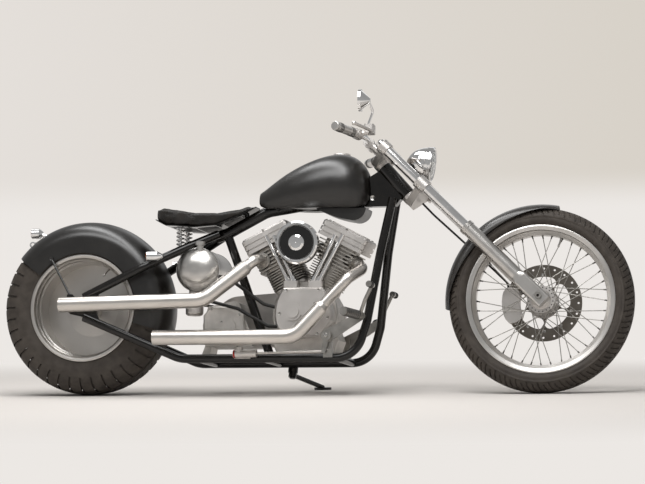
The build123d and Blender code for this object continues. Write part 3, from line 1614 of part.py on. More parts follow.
# Rear brake calliper gripping the chain wheel in front of the axle, its bracket round the axle
rear_grip = (108.0, 60.0, 76.0)
rear_grip_out = 148.0
rear_grip_thick = 42.0
with BuildPart() as rear_calliper:
    with BuildSketch(side(rear_grip_out)):
        with Locations((rear_grip[0], rear_axle_z)):
            RectangleRounded(rear_grip[1], rear_grip[2], 12)
    extrude(amount=rear_grip_thick)
    with BuildSketch(side(chain_y + wheel_thick / 2 + 2)):
        with Locations((0, rear_axle_z)):
            Circle(chain_wheel_r + 8)
    extrude(amount=wheel_thick + 4, mode=Mode.SUBTRACT)
    with BuildSketch(side(rear_grip_out)):
        with Locations((0, rear_axle_z)):
            Circle(24)
        with Locations((rear_grip[0] - 24, rear_axle_z)):
            Rectangle(30, 56)
        make_hull()
        with Locations((0, rear_axle_z)):
            Circle(rear_axle_r + 0.2, mode=Mode.SUBTRACT)
    extrude(amount=7)
rear_calliper.part = park(rear_calliper.part)
rear_calliper.part.label = "rear_calliper"
export_step(rear_calliper.part, "parts/rear_calliper.step")


# Forward foot controls: an arm forward from the rail, a round peg, and a pedal or shift lever with a round pad
control_y = 176.0
pivot_at = (979.0, 209.0)
peg_at = Vector(1108, 0, 283)
pad_at = Vector(1152, 0, 396)
brake_rod_y = -182.0
brake_rod_z = 150.0


def foot_control(hand):
    across = Vector(0, hand, 0)
    peg_foot = peg_at + across * (control_y - 2)
    peg_dir = Vector(-0.31, hand * 0.95, 0.06).normalized()
    with BuildPart() as body:
        with BuildSketch(side(hand * (control_y - 13) + 8)):
            with BuildLine():
                Polyline((962, rail_z), (998, rail_z), (994, 222), (964, 222), close=True)
            make_face()
        extrude(amount=16)
        with BuildSketch(side(hand * control_y + 5)):
            with Locations(pivot_at):
                Circle(24)
            with Locations((peg_at.X, peg_at.Z)):
                Circle(15)
            make_hull()
        extrude(amount=10)
        with BuildSketch(side(hand * control_y)):
            with Locations(pivot_at):
                Circle(19)
        extrude(amount=hand * -26)
        add(straight_rod(peg_foot, peg_foot + peg_dir * 40, 9))
        add(straight_rod(peg_foot + peg_dir * 24, peg_foot + peg_dir * 136, 16))
        add(
            bent_rod(
                [
                    peg_at + across * (control_y + 8) + Vector(-4, 0, 2),
                    peg_at + across * (control_y + 18) + Vector(18, 0, 58),
                    pad_at + across * (control_y + 18),
                ],
                7,
                30,
            )
        )
        add(straight_rod(pad_at + across * (control_y + 12), pad_at + across * (control_y + 78), 11))
        for tube in (right_low, left_low, right_down, left_down):
            add(tube, mode=Mode.SUBTRACT)
    return body.part.solids().sort_by(SortBy.VOLUME)[-1]


right_foot = foot_control(-1)
left_foot = foot_control(1)
with BuildPart() as brake_arm:
    with BuildSketch(side(brake_rod_y + 4)):
        with Locations(pivot_at):
            Circle(12)
        with Locations((966, brake_rod_z)):
            Circle(8)
        make_hull()
    extrude(amount=8)
with BuildPart() as foot_controls:
    add(right_foot)
    add(brake_arm.part)
    add(left_foot)
foot_controls_body = foot_controls.part
foot_controls.part = park(foot_controls_body)
foot_controls.part.label = "foot_controls"
export_step(foot_controls.part, "parts/foot_controls.step")

# Rear brake master cylinder and its rod along the right rail
master_x = 650.0
with BuildPart() as brake_master:
    with BuildSketch(side(-rail_y - 10)):
        with Locations((master_x, rail_z + 14)):
            Rectangle(60, 34)
    extrude(amount=20)
    add(straight_rod((master_x - 32, brake_rod_y, rail_z + 14), (master_x + 58, brake_rod_y, rail_z + 16), 15))
    with BuildSketch(Plane.XY.offset(rail_z + 14)):
        with Locations((master_x - 10, brake_rod_y)):
            Circle(14)
    extrude(amount=26)
    add(straight_rod((master_x + 56, brake_rod_y, rail_z + 16), (968, brake_rod_y, brake_rod_z), 4))
    add(right_low, mode=Mode.SUBTRACT)
    add(foot_controls_body, mode=Mode.SUBTRACT)
brake_master.part = park(Part() + brake_master.part.solids().sort_by(SortBy.VOLUME)[-1])
brake_master.part.label = "rear_brake_master"
export_step(brake_master.part, "parts/rear_brake_master.step")

# Oil filter can hung below the round tank
filter_at = (432.0, -60.0)
with BuildPart() as oil_filter:
    with BuildSketch(Plane.XY.offset(298)):
        with Locations(filter_at):
            Circle(34)
    extrude(amount=78)
    fillet(oil_filter.edges().group_by(Axis.Z)[0], radius=12)
    with BuildSketch(Plane.XY.offset(376)):
        with Locations(filter_at):
            Circle(22)
    extrude(amount=50)
    add(oil_tank_body, mode=Mode.SUBTRACT)
oil_filter.part = park(Part() + oil_filter.part.solids().sort_by(SortBy.VOLUME)[-1])
oil_filter.part.label = "oil_filter"
export_step(oil_filter.part, "parts/oil_filter.step")

# Oil hoses from the tank's underside and from its front to the cam cover
hose_r = 6.5
feed_line = [(474, -84, 398), (480, -116, 356), (620, -132, 318), (736, -124, 252), (782, -98, 250)]
return_line = [(532, -70, 448), (600, -108, 420), (716, -110, 336), (786, -96, 318)]
with BuildPart() as oil_hoses:
    for hose_points in (feed_line, return_line):
        add(bent_rod(hose_points, hose_r, 18))
    add(oil_tank_body, mode=Mode.SUBTRACT)
    add(cam_cover_body, mode=Mode.SUBTRACT)
hose_runs = oil_hoses.part.solids().sort_by(SortBy.VOLUME)[-2:]
oil_hoses.part = park(Part() + hose_runs)
oil_hoses.part.label = "oil_hoses"
export_step(oil_hoses.part, "parts/oil_hoses.step")

# Coil cover slung from the top tube under the tank's front
with BuildPart() as coil_cover:
    with BuildSketch(side(60)):
        with BuildLine():
            Line((905, 704), (1098, 704))
            ThreePointArc((1098, 704), (1085, 672), (1035, 659))
            ThreePointArc((1035, 659), (975, 673), (905, 704))
        make_face()
    extrude(amount=120)
    with BuildSketch(Plane.XY.offset(700)):
        with Locations((965, 0), (1050, 0)):
            Rectangle(22, 26)
    extrude(amount=44)
    add(top_rod, mode=Mode.SUBTRACT)
coil_cover.part = park(Part() + coil_cover.part.solids().sort_by(SortBy.VOLUME)[-1])
coil_cover.part.label = "coil_cover"
export_step(coil_cover.part, "parts/coil_cover.step")
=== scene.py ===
import json
import math

import bmesh
import bpy
from mathutils import Matrix, Vector, bvhtree, geometry


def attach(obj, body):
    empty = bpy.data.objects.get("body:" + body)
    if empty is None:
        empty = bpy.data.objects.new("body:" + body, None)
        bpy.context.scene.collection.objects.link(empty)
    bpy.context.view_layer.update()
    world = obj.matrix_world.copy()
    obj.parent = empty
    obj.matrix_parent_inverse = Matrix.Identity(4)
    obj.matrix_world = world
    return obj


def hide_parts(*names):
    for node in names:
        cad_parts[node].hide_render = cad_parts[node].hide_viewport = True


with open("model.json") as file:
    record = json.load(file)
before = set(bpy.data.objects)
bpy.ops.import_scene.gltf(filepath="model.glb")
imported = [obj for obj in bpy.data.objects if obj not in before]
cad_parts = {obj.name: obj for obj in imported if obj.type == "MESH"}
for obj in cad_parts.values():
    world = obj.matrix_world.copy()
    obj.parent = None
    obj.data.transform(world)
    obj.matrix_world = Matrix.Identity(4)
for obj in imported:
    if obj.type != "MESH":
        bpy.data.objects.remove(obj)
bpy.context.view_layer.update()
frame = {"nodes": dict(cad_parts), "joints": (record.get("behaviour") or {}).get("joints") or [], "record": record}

print("frame loaded:", len(frame["nodes"]), "pieces of the chopper")

joints = {joint["name"]: joint for joint in frame["joints"]}
mm = 0.001


# Places on the machine. Each wheel's own axes: x ahead, y along its axle to the left, z up
def wheelPlace(joint):
    across = Vector(joint["axis"]).normalized()
    ahead = across.cross(Vector((0, 0, 1))).normalized()
    place = Matrix((ahead, across, ahead.cross(across))).transposed().to_4x4()
    place.translation = Vector(joint["pos_m"])
    return place


frontPlace = wheelPlace(joints["front_wheel_spin"])
rearPlace = wheelPlace(joints["rear_wheel_spin"])

# The drawing's upright coordinates, leaned over as it is parked, and then with the fork turned
drawing = {"lean": 6.55, "steer": 4.2, "shift": (-893, -110, 0)}
neckAt = Vector(joints["steering_turn"]["pos_m"])
neckAxis = Vector(joints["steering_turn"]["axis"])
parkedPlace = Matrix.Translation(Vector(drawing["shift"]) * mm) @ Matrix.Rotation(
    math.radians(-drawing["lean"]), 4, "X")
steeredPlace = Matrix.Translation(neckAt) @ Matrix.Rotation(
    math.radians(drawing["steer"]), 4, neckAxis) @ Matrix.Translation(-neckAt) @ parkedPlace


# Camera: long lens from the right and a little ahead, solved from the wheels' ellipses
cameraView = {
    "place": Vector((2.8784, -12.7602, 0.6690)),
    "lens": 190.5,
    "yaw": -12.65,
    "pitch": 0.40,
    "roll": 0.90,
}


def makeCamera(view):
    yaw, pitch, roll = (math.radians(view[key]) for key in ("yaw", "pitch", "roll"))
    ahead = Vector((math.sin(yaw) * math.cos(pitch), math.cos(yaw) * math.cos(pitch), -math.sin(pitch)))
    right = Vector((math.cos(yaw), -math.sin(yaw), 0))
    down = ahead.cross(right)
    turnedRight = right * math.cos(roll) + down * math.sin(roll)
    turnedDown = down * math.cos(roll) - right * math.sin(roll)
    cameraData = bpy.data.cameras.new("sideCamera")
    cameraData.lens = view["lens"]
    cameraData.sensor_width = 36
    cameraData.clip_end = 100
    camera = bpy.data.objects.new("sideCamera", cameraData)
    turned = Matrix((turnedRight, -turnedDown, -ahead)).transposed().to_4x4()
    turned.translation = view["place"]
    camera.matrix_world = turned
    bpy.context.scene.collection.objects.link(camera)
    bpy.context.scene.camera = camera


makeCamera(cameraView)


# Colours and nodes
def linearColour(hexText):
    channels = [int(hexText[i:i + 2], 16) / 255 for i in (1, 3, 5)]
    linear = [c / 12.92 if c <= 0.04045 else ((c + 0.055) / 1.055) ** 2.4 for c in channels]
    return (*linear, 1)


def addNode(tree, kind, inputs=None, **settings):
    node = tree.nodes.new(kind)
    for name, value in settings.items():
        setattr(node, name, value)
    for name, value in (inputs or {}).items():
        if isinstance(value, bpy.types.NodeSocket):
            tree.links.new(value, node.inputs[name])
        else:
            node.inputs[name].default_value = value
    return node


def startMaterial(name):
    material = bpy.data.materials.new(name)
    material.use_nodes = True
    tree = material.node_tree
    tree.nodes.clear()
    shader = addNode(tree, "ShaderNodeBsdfPrincipled")
    addNode(tree, "ShaderNodeOutputMaterial", {"Surface": shader.outputs["BSDF"]})
    place = addNode(tree, "ShaderNodeTexCoord")
    return material, tree, shader, place.outputs["Object"]


def patternScale(sizeInMm):
    return 1 / (sizeInMm * mm)


# Two tones that follow a noise, for a surface that isn't one flat colour
def mottle(tree, place, darkHex, lightHex, sizeInMm, low=0.35, high=0.65, detail=3):
    noise = addNode(tree, "ShaderNodeTexNoise", {"Vector": place, "Scale": patternScale(sizeInMm), "Detail": detail})
    ramp = addNode(tree, "ShaderNodeValToRGB", {"Fac": noise.outputs["Fac"]})
    ramp.color_ramp.elements[0].position = low
    ramp.color_ramp.elements[0].color = linearColour(darkHex)
    ramp.color_ramp.elements[1].position = high
    ramp.color_ramp.elements[1].color = linearColour(lightHex)
    return noise, ramp


def roughnessFrom(tree, noise, low, high):
    spread = addNode(tree, "ShaderNodeMapRange", {
        "Value": noise.outputs["Fac"], "From Min": 0.3, "From Max": 0.7, "To Min": low, "To Max": high})
    return spread.outputs["Result"]


def bumpFrom(tree, height, depthInMm, strength=1.0):
    bump = addNode(tree, "ShaderNodeBump", {"Height": height, "Distance": depthInMm * mm, "Strength": strength})
    return bump.outputs["Normal"]


# Sprayed enamel: glassy black with the faint orange peel of a spray gun
def sprayedPaint(name, darkHex, lightHex, roughness, coat, peelInMm=9, peelDepth=0.02, gloss=0.5):
    material, tree, shader, place = startMaterial(name)
    noise, ramp = mottle(tree, place, darkHex, lightHex, 60)
    peel = addNode(tree, "ShaderNodeTexNoise", {"Vector": place, "Scale": patternScale(peelInMm), "Detail": 1})
    tree.links.new(ramp.outputs["Color"], shader.inputs["Base Color"])
    tree.links.new(roughnessFrom(tree, noise, roughness - 0.04, roughness + 0.04), shader.inputs["Roughness"])
    tree.links.new(bumpFrom(tree, peel.outputs["Fac"], peelDepth), shader.inputs["Normal"])
    shader.inputs["Coat Weight"].default_value = coat
    shader.inputs["Coat Roughness"].default_value = 0.08
    shader.inputs["Specular IOR Level"].default_value = gloss
    return material


# Bare metal: cast, blasted or polished, told apart by its grain and how deep the grain is
def bareMetal(name, darkHex, lightHex, roughness, grainInMm, grainDepth, mottleInMm=30, spread=0.05):
    material, tree, shader, place = startMaterial(name)
    noise, ramp = mottle(tree, place, darkHex, lightHex, mottleInMm)
    grain = addNode(tree, "ShaderNodeTexNoise", {"Vector": place, "Scale": patternScale(grainInMm), "Detail": 4})
    tree.links.new(ramp.outputs["Color"], shader.inputs["Base Color"])
    tree.links.new(roughnessFrom(tree, noise, roughness - spread, roughness + spread), shader.inputs["Roughness"])
    tree.links.new(bumpFrom(tree, grain.outputs["Fac"], grainDepth), shader.inputs["Normal"])
    shader.inputs["Metallic"].default_value = 1
    return material


# Metal with the fine rings that a lathe leaves round the wheel's own axle
def turnedMetal(name, darkHex, lightHex, roughness, ringInMm, place4, mottleInMm=120):
    material, tree, shader, place = startMaterial(name)
    centre, turn, unused = place4.decompose()
    onAxle = addNode(tree, "ShaderNodeMapping", {
        "Vector": place, "Location": centre, "Rotation": turn.to_euler()}, vector_type="TEXTURE")
    rings = addNode(tree, "ShaderNodeTexWave", {
        "Vector": onAxle.outputs["Vector"], "Scale": patternScale(ringInMm) / (2 * math.pi), "Distortion": 0.4,
        "Detail": 2, "Detail Scale": 2}, wave_type="RINGS", rings_direction="Y")
    noise, ramp = mottle(tree, place, darkHex, lightHex, mottleInMm)
    tree.links.new(ramp.outputs["Color"], shader.inputs["Base Color"])
    tree.links.new(roughnessFrom(tree, noise, roughness - 0.015, roughness + 0.02), shader.inputs["Roughness"])
    tree.links.new(bumpFrom(tree, rings.outputs["Fac"], 0.02), shader.inputs["Normal"])
    shader.inputs["Metallic"].default_value = 1
    return material


# Vulcanised rubber: brown-black and dusty, with a fine leathery skin
def tyreRubber(name, darkHex, lightHex, roughness, grainInMm):
    material, tree, shader, place = startMaterial(name)
    noise, ramp = mottle(tree, place, darkHex, lightHex, 35, 0.3, 0.7, 5)
    grain = addNode(tree, "ShaderNodeTexNoise", {"Vector": place, "Scale": patternScale(grainInMm), "Detail": 3})
    tree.links.new(ramp.outputs["Color"], shader.inputs["Base Color"])
    tree.links.new(roughnessFrom(tree, noise, roughness - 0.06, roughness + 0.08), shader.inputs["Roughness"])
    tree.links.new(bumpFrom(tree, grain.outputs["Fac"], 0.12, 0.6), shader.inputs["Normal"])
    shader.inputs["IOR"].default_value = 1.5
    shader.inputs["Specular IOR Level"].default_value = 0.35
    return material


# Tanned hide: pebbled grain about 3 mm across, its shine varying at random
def seatHide(name, darkHex, lightHex, roughness, pebbleInMm):
    material, tree, shader, place = startMaterial(name)
    noise, ramp = mottle(tree, place, darkHex, lightHex, 40)
    pebbles = addNode(tree, "ShaderNodeTexVoronoi", {
        "Vector": place, "Scale": patternScale(pebbleInMm)}, feature="DISTANCE_TO_EDGE")
    soft = addNode(tree, "ShaderNodeMapRange", {
        "Value": pebbles.outputs["Distance"], "From Min": 0, "From Max": 0.25, "To Min": 0, "To Max": 1})
    tree.links.new(ramp.outputs["Color"], shader.inputs["Base Color"])
    tree.links.new(roughnessFrom(tree, noise, roughness - 0.08, roughness + 0.08), shader.inputs["Roughness"])
    tree.links.new(bumpFrom(tree, soft.outputs["Result"], 0.25, 0.7), shader.inputs["Normal"])
    shader.inputs["Specular IOR Level"].default_value = 0.35
    return material


# Pressed clear or tinted lens, with the ribs moulded in its inner face
def mouldedLens(name, colourHex, ribInMm, roughness=0.05, transmission=0.9):
    material, tree, shader, place = startMaterial(name)
    ribs = addNode(tree, "ShaderNodeTexWave", {
        "Vector": place, "Scale": patternScale(ribInMm) / (2 * math.pi), "Distortion": 0}, bands_direction="Y")
    tree.links.new(bumpFrom(tree, ribs.outputs["Fac"], 0.5, 0.5), shader.inputs["Normal"])
    shader.inputs["Base Color"].default_value = linearColour(colourHex)
    shader.inputs["Roughness"].default_value = roughness
    shader.inputs["Transmission Weight"].default_value = transmission
    shader.inputs["IOR"].default_value = 1.49
    return material


finishes = {
    # gloss enamel on the frame: deep black, sharp streaks of light along each tube
    "glossEnamel": sprayedPaint("glossEnamel", "#0c0a08", "#120f0c", 0.16, 0.1, gloss=0.4),
    # flatted black on tank and rear fender: one broad soft highlight
    "flattedBlack": sprayedPaint("flattedBlack", "#0d0a07", "#120f0b", 0.33, 0.0, 6, 0.008, 0.7),
    # satin graphite on the front fender
    "satinGraphite": sprayedPaint("satinGraphite", "#2b2826", "#32302d", 0.30, 0.1, 6, 0.008),
    "tyreRubber": tyreRubber("tyreRubber", "#332d28", "#46403a", 0.62, 1.2),
    # sand-cast aluminium of the crankcase and gearbox
    "castAluminium": bareMetal("castAluminium", "#c3bfba", "#d1cdc8", 0.48, 1.6, 0.10),
    # cylinders and heads: cast, mottled a darker grey than the crankcase all over, as painted shade for the dark gaps
    # between the fins
    "finnedAluminium": bareMetal("finnedAluminium", "#a29d96", "#bab6b0", 0.40, 1.8, 0.08, 22),
    # machined and clear-coated aluminium of rocker boxes and covers
    "machinedAluminium": bareMetal("machinedAluminium", "#c6c2be", "#d0ccc8", 0.43, 3, 0.012, 60, 0.03),
    # satin aluminium of sliders and tank
    "satinAluminium": bareMetal("satinAluminium", "#c2bfbb", "#cac7c3", 0.31, 4, 0.006, 70, 0.02),
    "polishedAluminium": bareMetal("polishedAluminium", "#cfccc8", "#dad7d3", 0.16, 6, 0.01),
    # electroplated chrome: a cold mirror with almost no grain
    "chromePlate": bareMetal("chromePlate", "#dfdedd", "#e9e8e7", 0.07, 12, 0.004, 50, 0.02),
    # brushed stainless tube of the exhaust
    "brushedStainless": bareMetal("brushedStainless", "#cdc8c2", "#d4cfc9", 0.32, 2.5, 0.003, 90, 0.02),
    "groundSteel": bareMetal("groundSteel", "#9a9792", "#aaa7a2", 0.34, 2, 0.02),
    # blued steel of the drilled brake disc
    "discSteel": turnedMetal("discSteel", "#716b63", "#807a72", 0.32, 0.9, frontPlace),
    # anodised ring of the brake cylinder
    "redAnodised": bareMetal("redAnodised", "#8a1f18", "#a02a20", 0.3, 3, 0.01),
    "oiledChainSteel": bareMetal("oiledChainSteel", "#4f4c48", "#6c6863", 0.42, 3, 0.05, 15),
    # zinc-plated screws
    "zincPlate": bareMetal("zincPlate", "#a8a6a2", "#bebcb8", 0.28, 2, 0.01, 10),
    "turnedRearRim": turnedMetal("turnedRearRim", "#b9b5b0", "#c1bdb8", 0.34, 1.6, rearPlace),
    "turnedFrontRim": turnedMetal("turnedFrontRim", "#c0bdb9", "#cecbc7", 0.30, 1.6, frontPlace),
    "seatHide": seatHide("seatHide", "#0e0a06", "#18120b", 0.50, 3),
    # waxed linen thread of the seat's stitches
    "waxedThread": seatHide("waxedThread", "#2a2219", "#3a3024", 0.6, 1),
    "hoseRubber": tyreRubber("hoseRubber", "#121110", "#1c1a18", 0.5, 2),
    "clearLens": mouldedLens("clearLens", "#f4f6f6", 9),
    "amberLens": mouldedLens("amberLens", "#d96a12", 3, 0.1, 0.5),
    "redLens": mouldedLens("redLens", "#a3120c", 3, 0.1, 0.5),
    # silvered glass of the mirror
    "mirrorGlass": bareMetal("mirrorGlass", "#e6e8e8", "#eceeee", 0.02, 40, 0.001, 50, 0.01),
    # crackle-free black enamel inside the air cleaner's dish
    "dishEnamel": sprayedPaint("dishEnamel", "#080706", "#0d0b09", 0.12, 0.3),
}

finishOfSlot = {
    "black_gloss": "glossEnamel",
    "black_satin": "flattedBlack",
    "fender_satin": "satinGraphite",
    "tyre": "tyreRubber",
    "aluminium": "castAluminium",
    "polished": "machinedAluminium",
    "chrome": "chromePlate",
    "steel": "groundSteel",
    "dark_steel": "oiledChainSteel",
    "leather": "seatHide",
    "rubber": "hoseRubber",
    "glass": "clearLens",
}
finishOfNode = {
    "rear_rim": "turnedRearRim",
    "front_brake_disc": "discSteel",
    "front_spokes": "groundSteel",
    "fork_sliders": "satinAluminium",
    "oil_tank": "satinAluminium",
    "cylinders": "finnedAluminium",
    "grips": "satinAluminium",
    "foot_controls": "groundSteel",
    "upper_exhaust_pipe": "brushedStainless",
    "lower_exhaust_pipe": "brushedStainless",
    "seat_pan": "glossEnamel",
    "coil_cover": "flattedBlack",
    "front_rim": "turnedFrontRim",
}


def paintNodes():
    slotOfNode = {part["node"]: part["material_slot"] for part in frame["record"]["subparts"]}
    for name, node in frame["nodes"].items():
        finish = finishOfNode.get(name, finishOfSlot[slotOfNode[name]])
        node.data.materials.clear()
        node.data.materials.append(finishes[finish])


paintNodes()
print("finishes made:", len(finishes))


# A finished bmesh becomes an object at the origin that rides on a body
def finishPiece(bm, name, finish, body, replaced=(), place=None, smooth=True, creaseAngle=35):
    if place is not None:
        bmesh.ops.transform(bm, matrix=place, verts=bm.verts)
    bmesh.ops.remove_doubles(bm, verts=bm.verts, dist=0.02 * mm)
    bmesh.ops.recalc_face_normals(bm, faces=bm.faces)
    for edge in bm.edges:
        edge.smooth = len(edge.link_faces) == 2 and edge.calc_face_angle(0) < math.radians(creaseAngle)
    for face in bm.faces:
        face.smooth = smooth
    mesh = bpy.data.meshes.new(name)
    bm.to_mesh(mesh)
    bm.free()
    piece = bpy.data.objects.new(name, mesh)
    piece.data.materials.append(finishes[finish])
    bpy.context.scene.collection.objects.link(piece)
    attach(piece, body)
    if replaced:
        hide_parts(*replaced)
    return piece


# Tyres: one pitch of tread is spun, cut with grooves, skewed and repeated round the wheel.
# The half profile lists radius and distance from the middle, tread first and then sidewall.
frontTyreLook = {
    "tread": [(350, 0), (349.6, 9), (348.3, 18), (346, 27), (342.6, 36), (337.5, 44), (331, 51), (324, 55.5)],
    "wall": [(317, 58.2), (315, 60.2), (311, 60.4), (308, 59), (300, 60), (292, 57.5), (285, 51.5), (281, 48), (267, 45)],
    "pitches": 48,
    "steps": 6,
    "grooves": {0: (2,), 2: (0, 1), 3: (1, 4), 4: (1, 4), 5: (1, 4), 6: (1, 4), 7: (1,)},
    "grooveDepth": 4,
    "grooveMargin": 0.8,
    "grooveLow": 318,
    "skew": 110,
}
rearTyreLook = {
    "tread": [(327, 0), (326.6, 16), (325.4, 32), (323.4, 48), (320.4, 63), (316, 78), (309, 91), (299, 101)],
    "wall": [(286, 107.5), (268, 112), (250, 113.8), (232, 112.5), (216, 110), (207, 108.5), (190.5, 104.5)],
    "pitches": 40,
    "steps": 6,
    "grooves": {0: (3,), 2: (0, 1, 2, 3, 4, 5), 3: (0,), 4: (0,), 5: (0,), 6: (0,), 7: (0,), 8: (0,)},
    "grooveDepth": 5,
    "grooveMargin": 1.2,
    "grooveLow": 270,
    "skew": 12,
}


def makeTyre(name, look, place, body, node):
    bm = bmesh.new()
    half = look["tread"] + look["wall"]
    profile = [(radius, -out) for radius, out in reversed(half[1:])] + half
    row = [bm.verts.new((radius * mm, out * mm, 0)) for radius, out in profile]
    for a, b in zip(row, row[1:] + row[:1]):
        bm.edges.new((a, b))
    pitchTurn = 2 * math.pi / look["pitches"]
    bmesh.ops.spin(bm, geom=bm.verts[:] + bm.edges[:], cent=(0, 0, 0), axis=(0, 1, 0), angle=pitchTurn,
                   steps=look["steps"])
    marks = []
    for face in bm.faces:
        middle = face.calc_center_median()
        radius, out = math.hypot(middle.x, middle.z) / mm, abs(middle.y) / mm
        around = int((math.atan2(-middle.z, middle.x) % (2 * math.pi)) / pitchTurn * look["steps"])
        if middle.y < 0:
            around = look["steps"] - 1 - around
        for band, (inner, outer) in enumerate(zip(half, half[1:])):
            between = inner[1] < out < outer[1] and inner[0] > radius > outer[0]
            if between and radius > look["grooveLow"] and around in look["grooves"].get(band, ()):
                marks.append(face)
    bm.normal_update()
    if marks[0].normal.dot(marks[0].calc_center_median()) < 0:
        bmesh.ops.reverse_faces(bm, faces=bm.faces[:])
    bmesh.ops.inset_region(bm, faces=marks, thickness=look["grooveMargin"] * mm, depth=-look["grooveDepth"] * mm)
    bmesh.ops.spin(bm, geom=bm.verts[:] + bm.edges[:] + bm.faces[:], cent=(0, 0, 0), axis=(0, 1, 0),
                   angle=2 * math.pi, steps=look["pitches"], use_duplicate=True)
    bmesh.ops.remove_doubles(bm, verts=bm.verts, dist=0.05 * mm)
    for vert in bm.verts:
        skew = math.radians(look["skew"]) * vert.co.y ** 2 / 0.1
        vert.co = Matrix.Rotation(skew, 3, "Y") @ vert.co
    return finishPiece(bm, name, "tyreRubber", body, (node,), place, creaseAngle=28)


frontTyre = makeTyre("frontTreadedTyre", frontTyreLook, frontPlace, "front_wheel", "front_tyre")
rearTyre = makeTyre("rearTreadedTyre", rearTyreLook, rearPlace, "rear_wheel", "rear_tyre")
print("tyres made:", len(frontTyre.data.polygons), len(rearTyre.data.polygons), "faces")


# Small shapes that the pieces below share. Each is added to a bmesh that is still in drawing coordinates
def facingPlace(at, facing, lift=0.0):
    turn = Vector(facing).normalized().to_track_quat("Z", "Y").to_matrix().to_4x4()
    return Matrix.Translation(Vector(at) * mm) @ turn @ Matrix.Translation((0, 0, lift * mm))


def moveNew(bm, before, place):
    bmesh.ops.transform(bm, matrix=place, verts=[vert for vert in bm.verts if vert not in before])


# Screw: hexagon head, socket cap or button, with a broken top edge
def addScrew(bm, at, facing, radius, height, kind="socket"):
    sides = 6 if kind == "hex" else 20
    made = bmesh.ops.create_cone(
        bm, cap_ends=True, segments=sides, radius1=radius * mm, radius2=radius * mm, depth=height * mm,
        matrix=Matrix.Translation((0, 0, height / 2 * mm)))
    faces = {face for vert in made["verts"] for face in vert.link_faces}
    top = max(faces, key=lambda face: face.calc_center_median().z)
    before = set(bm.verts) - set(made["verts"])
    if kind != "hex":
        bmesh.ops.inset_region(bm, faces=[top], thickness=radius * 0.45 * mm)
        bmesh.ops.translate(bm, verts=top.verts[:], vec=(0, 0, -height * 0.55 * mm))
    rim = [edge for edge in bm.edges if all(
        vert not in before and abs(vert.co.z - height * mm) < 1e-6 and vert.co.to_2d().length > radius * 0.8 * mm
        for vert in edge.verts)]
    bmesh.ops.bevel(bm, geom=rim, offset=radius * 0.18 * mm, segments=2, profile=0.5, affect="EDGES", material=-1)
    moveNew(bm, before, facingPlace(at, facing))


# Turned shape: rows of radius and height, spun round its own upward axis
def addTurned(bm, rows, place, segments=48):
    before = set(bm.verts)
    row = [bm.verts.new((radius * mm, 0, height * mm)) for radius, height in rows]
    edges = [bm.edges.new(pair) for pair in zip(row, row[1:])]
    bmesh.ops.spin(bm, geom=row + edges, cent=(0, 0, 0), axis=(0, 0, 1), angle=2 * math.pi, steps=segments,
                   use_merge=True)
    moveNew(bm, before, place)


# Round bar, wire or hose through points, its circles bridged one to the next
def addTube(bm, points, radius, segments=12):
    path = [Vector(point) * mm for point in points]
    side = None
    last = None
    for i, at in enumerate(path):
        ahead = (path[min(i + 1, len(path) - 1)] - path[max(i - 1, 0)]).normalized()
        if side is None:
            side = ahead.orthogonal().normalized()
        side = (side - ahead * side.dot(ahead)).normalized()
        frameTurn = Matrix((side, ahead.cross(side), ahead)).transposed().to_4x4()
        frameTurn.translation = at
        ring = bmesh.ops.create_circle(
            bm, cap_ends=i in (0, len(path) - 1), segments=segments, radius=radius * mm, matrix=frameTurn)["verts"]
        edges = {edge for vert in ring for edge in vert.link_edges}
        if last is not None:
            bmesh.ops.bridge_loops(bm, edges=list(last | edges))
        last = edges


# Points along straight runs whose corners are rounded off by a Bezier
def roundedPath(points, cut, steps=8):
    corners = [Vector(point) for point in points]
    path = [corners[0]]
    for before, corner, after in zip(corners, corners[1:], corners[2:]):
        start = corner + (before - corner).normalized() * cut
        end = corner + (after - corner).normalized() * cut
        path += geometry.interpolate_bezier(start, start.lerp(corner, 0.6), end.lerp(corner, 0.6), end, steps)
    return path + [corners[-1]]


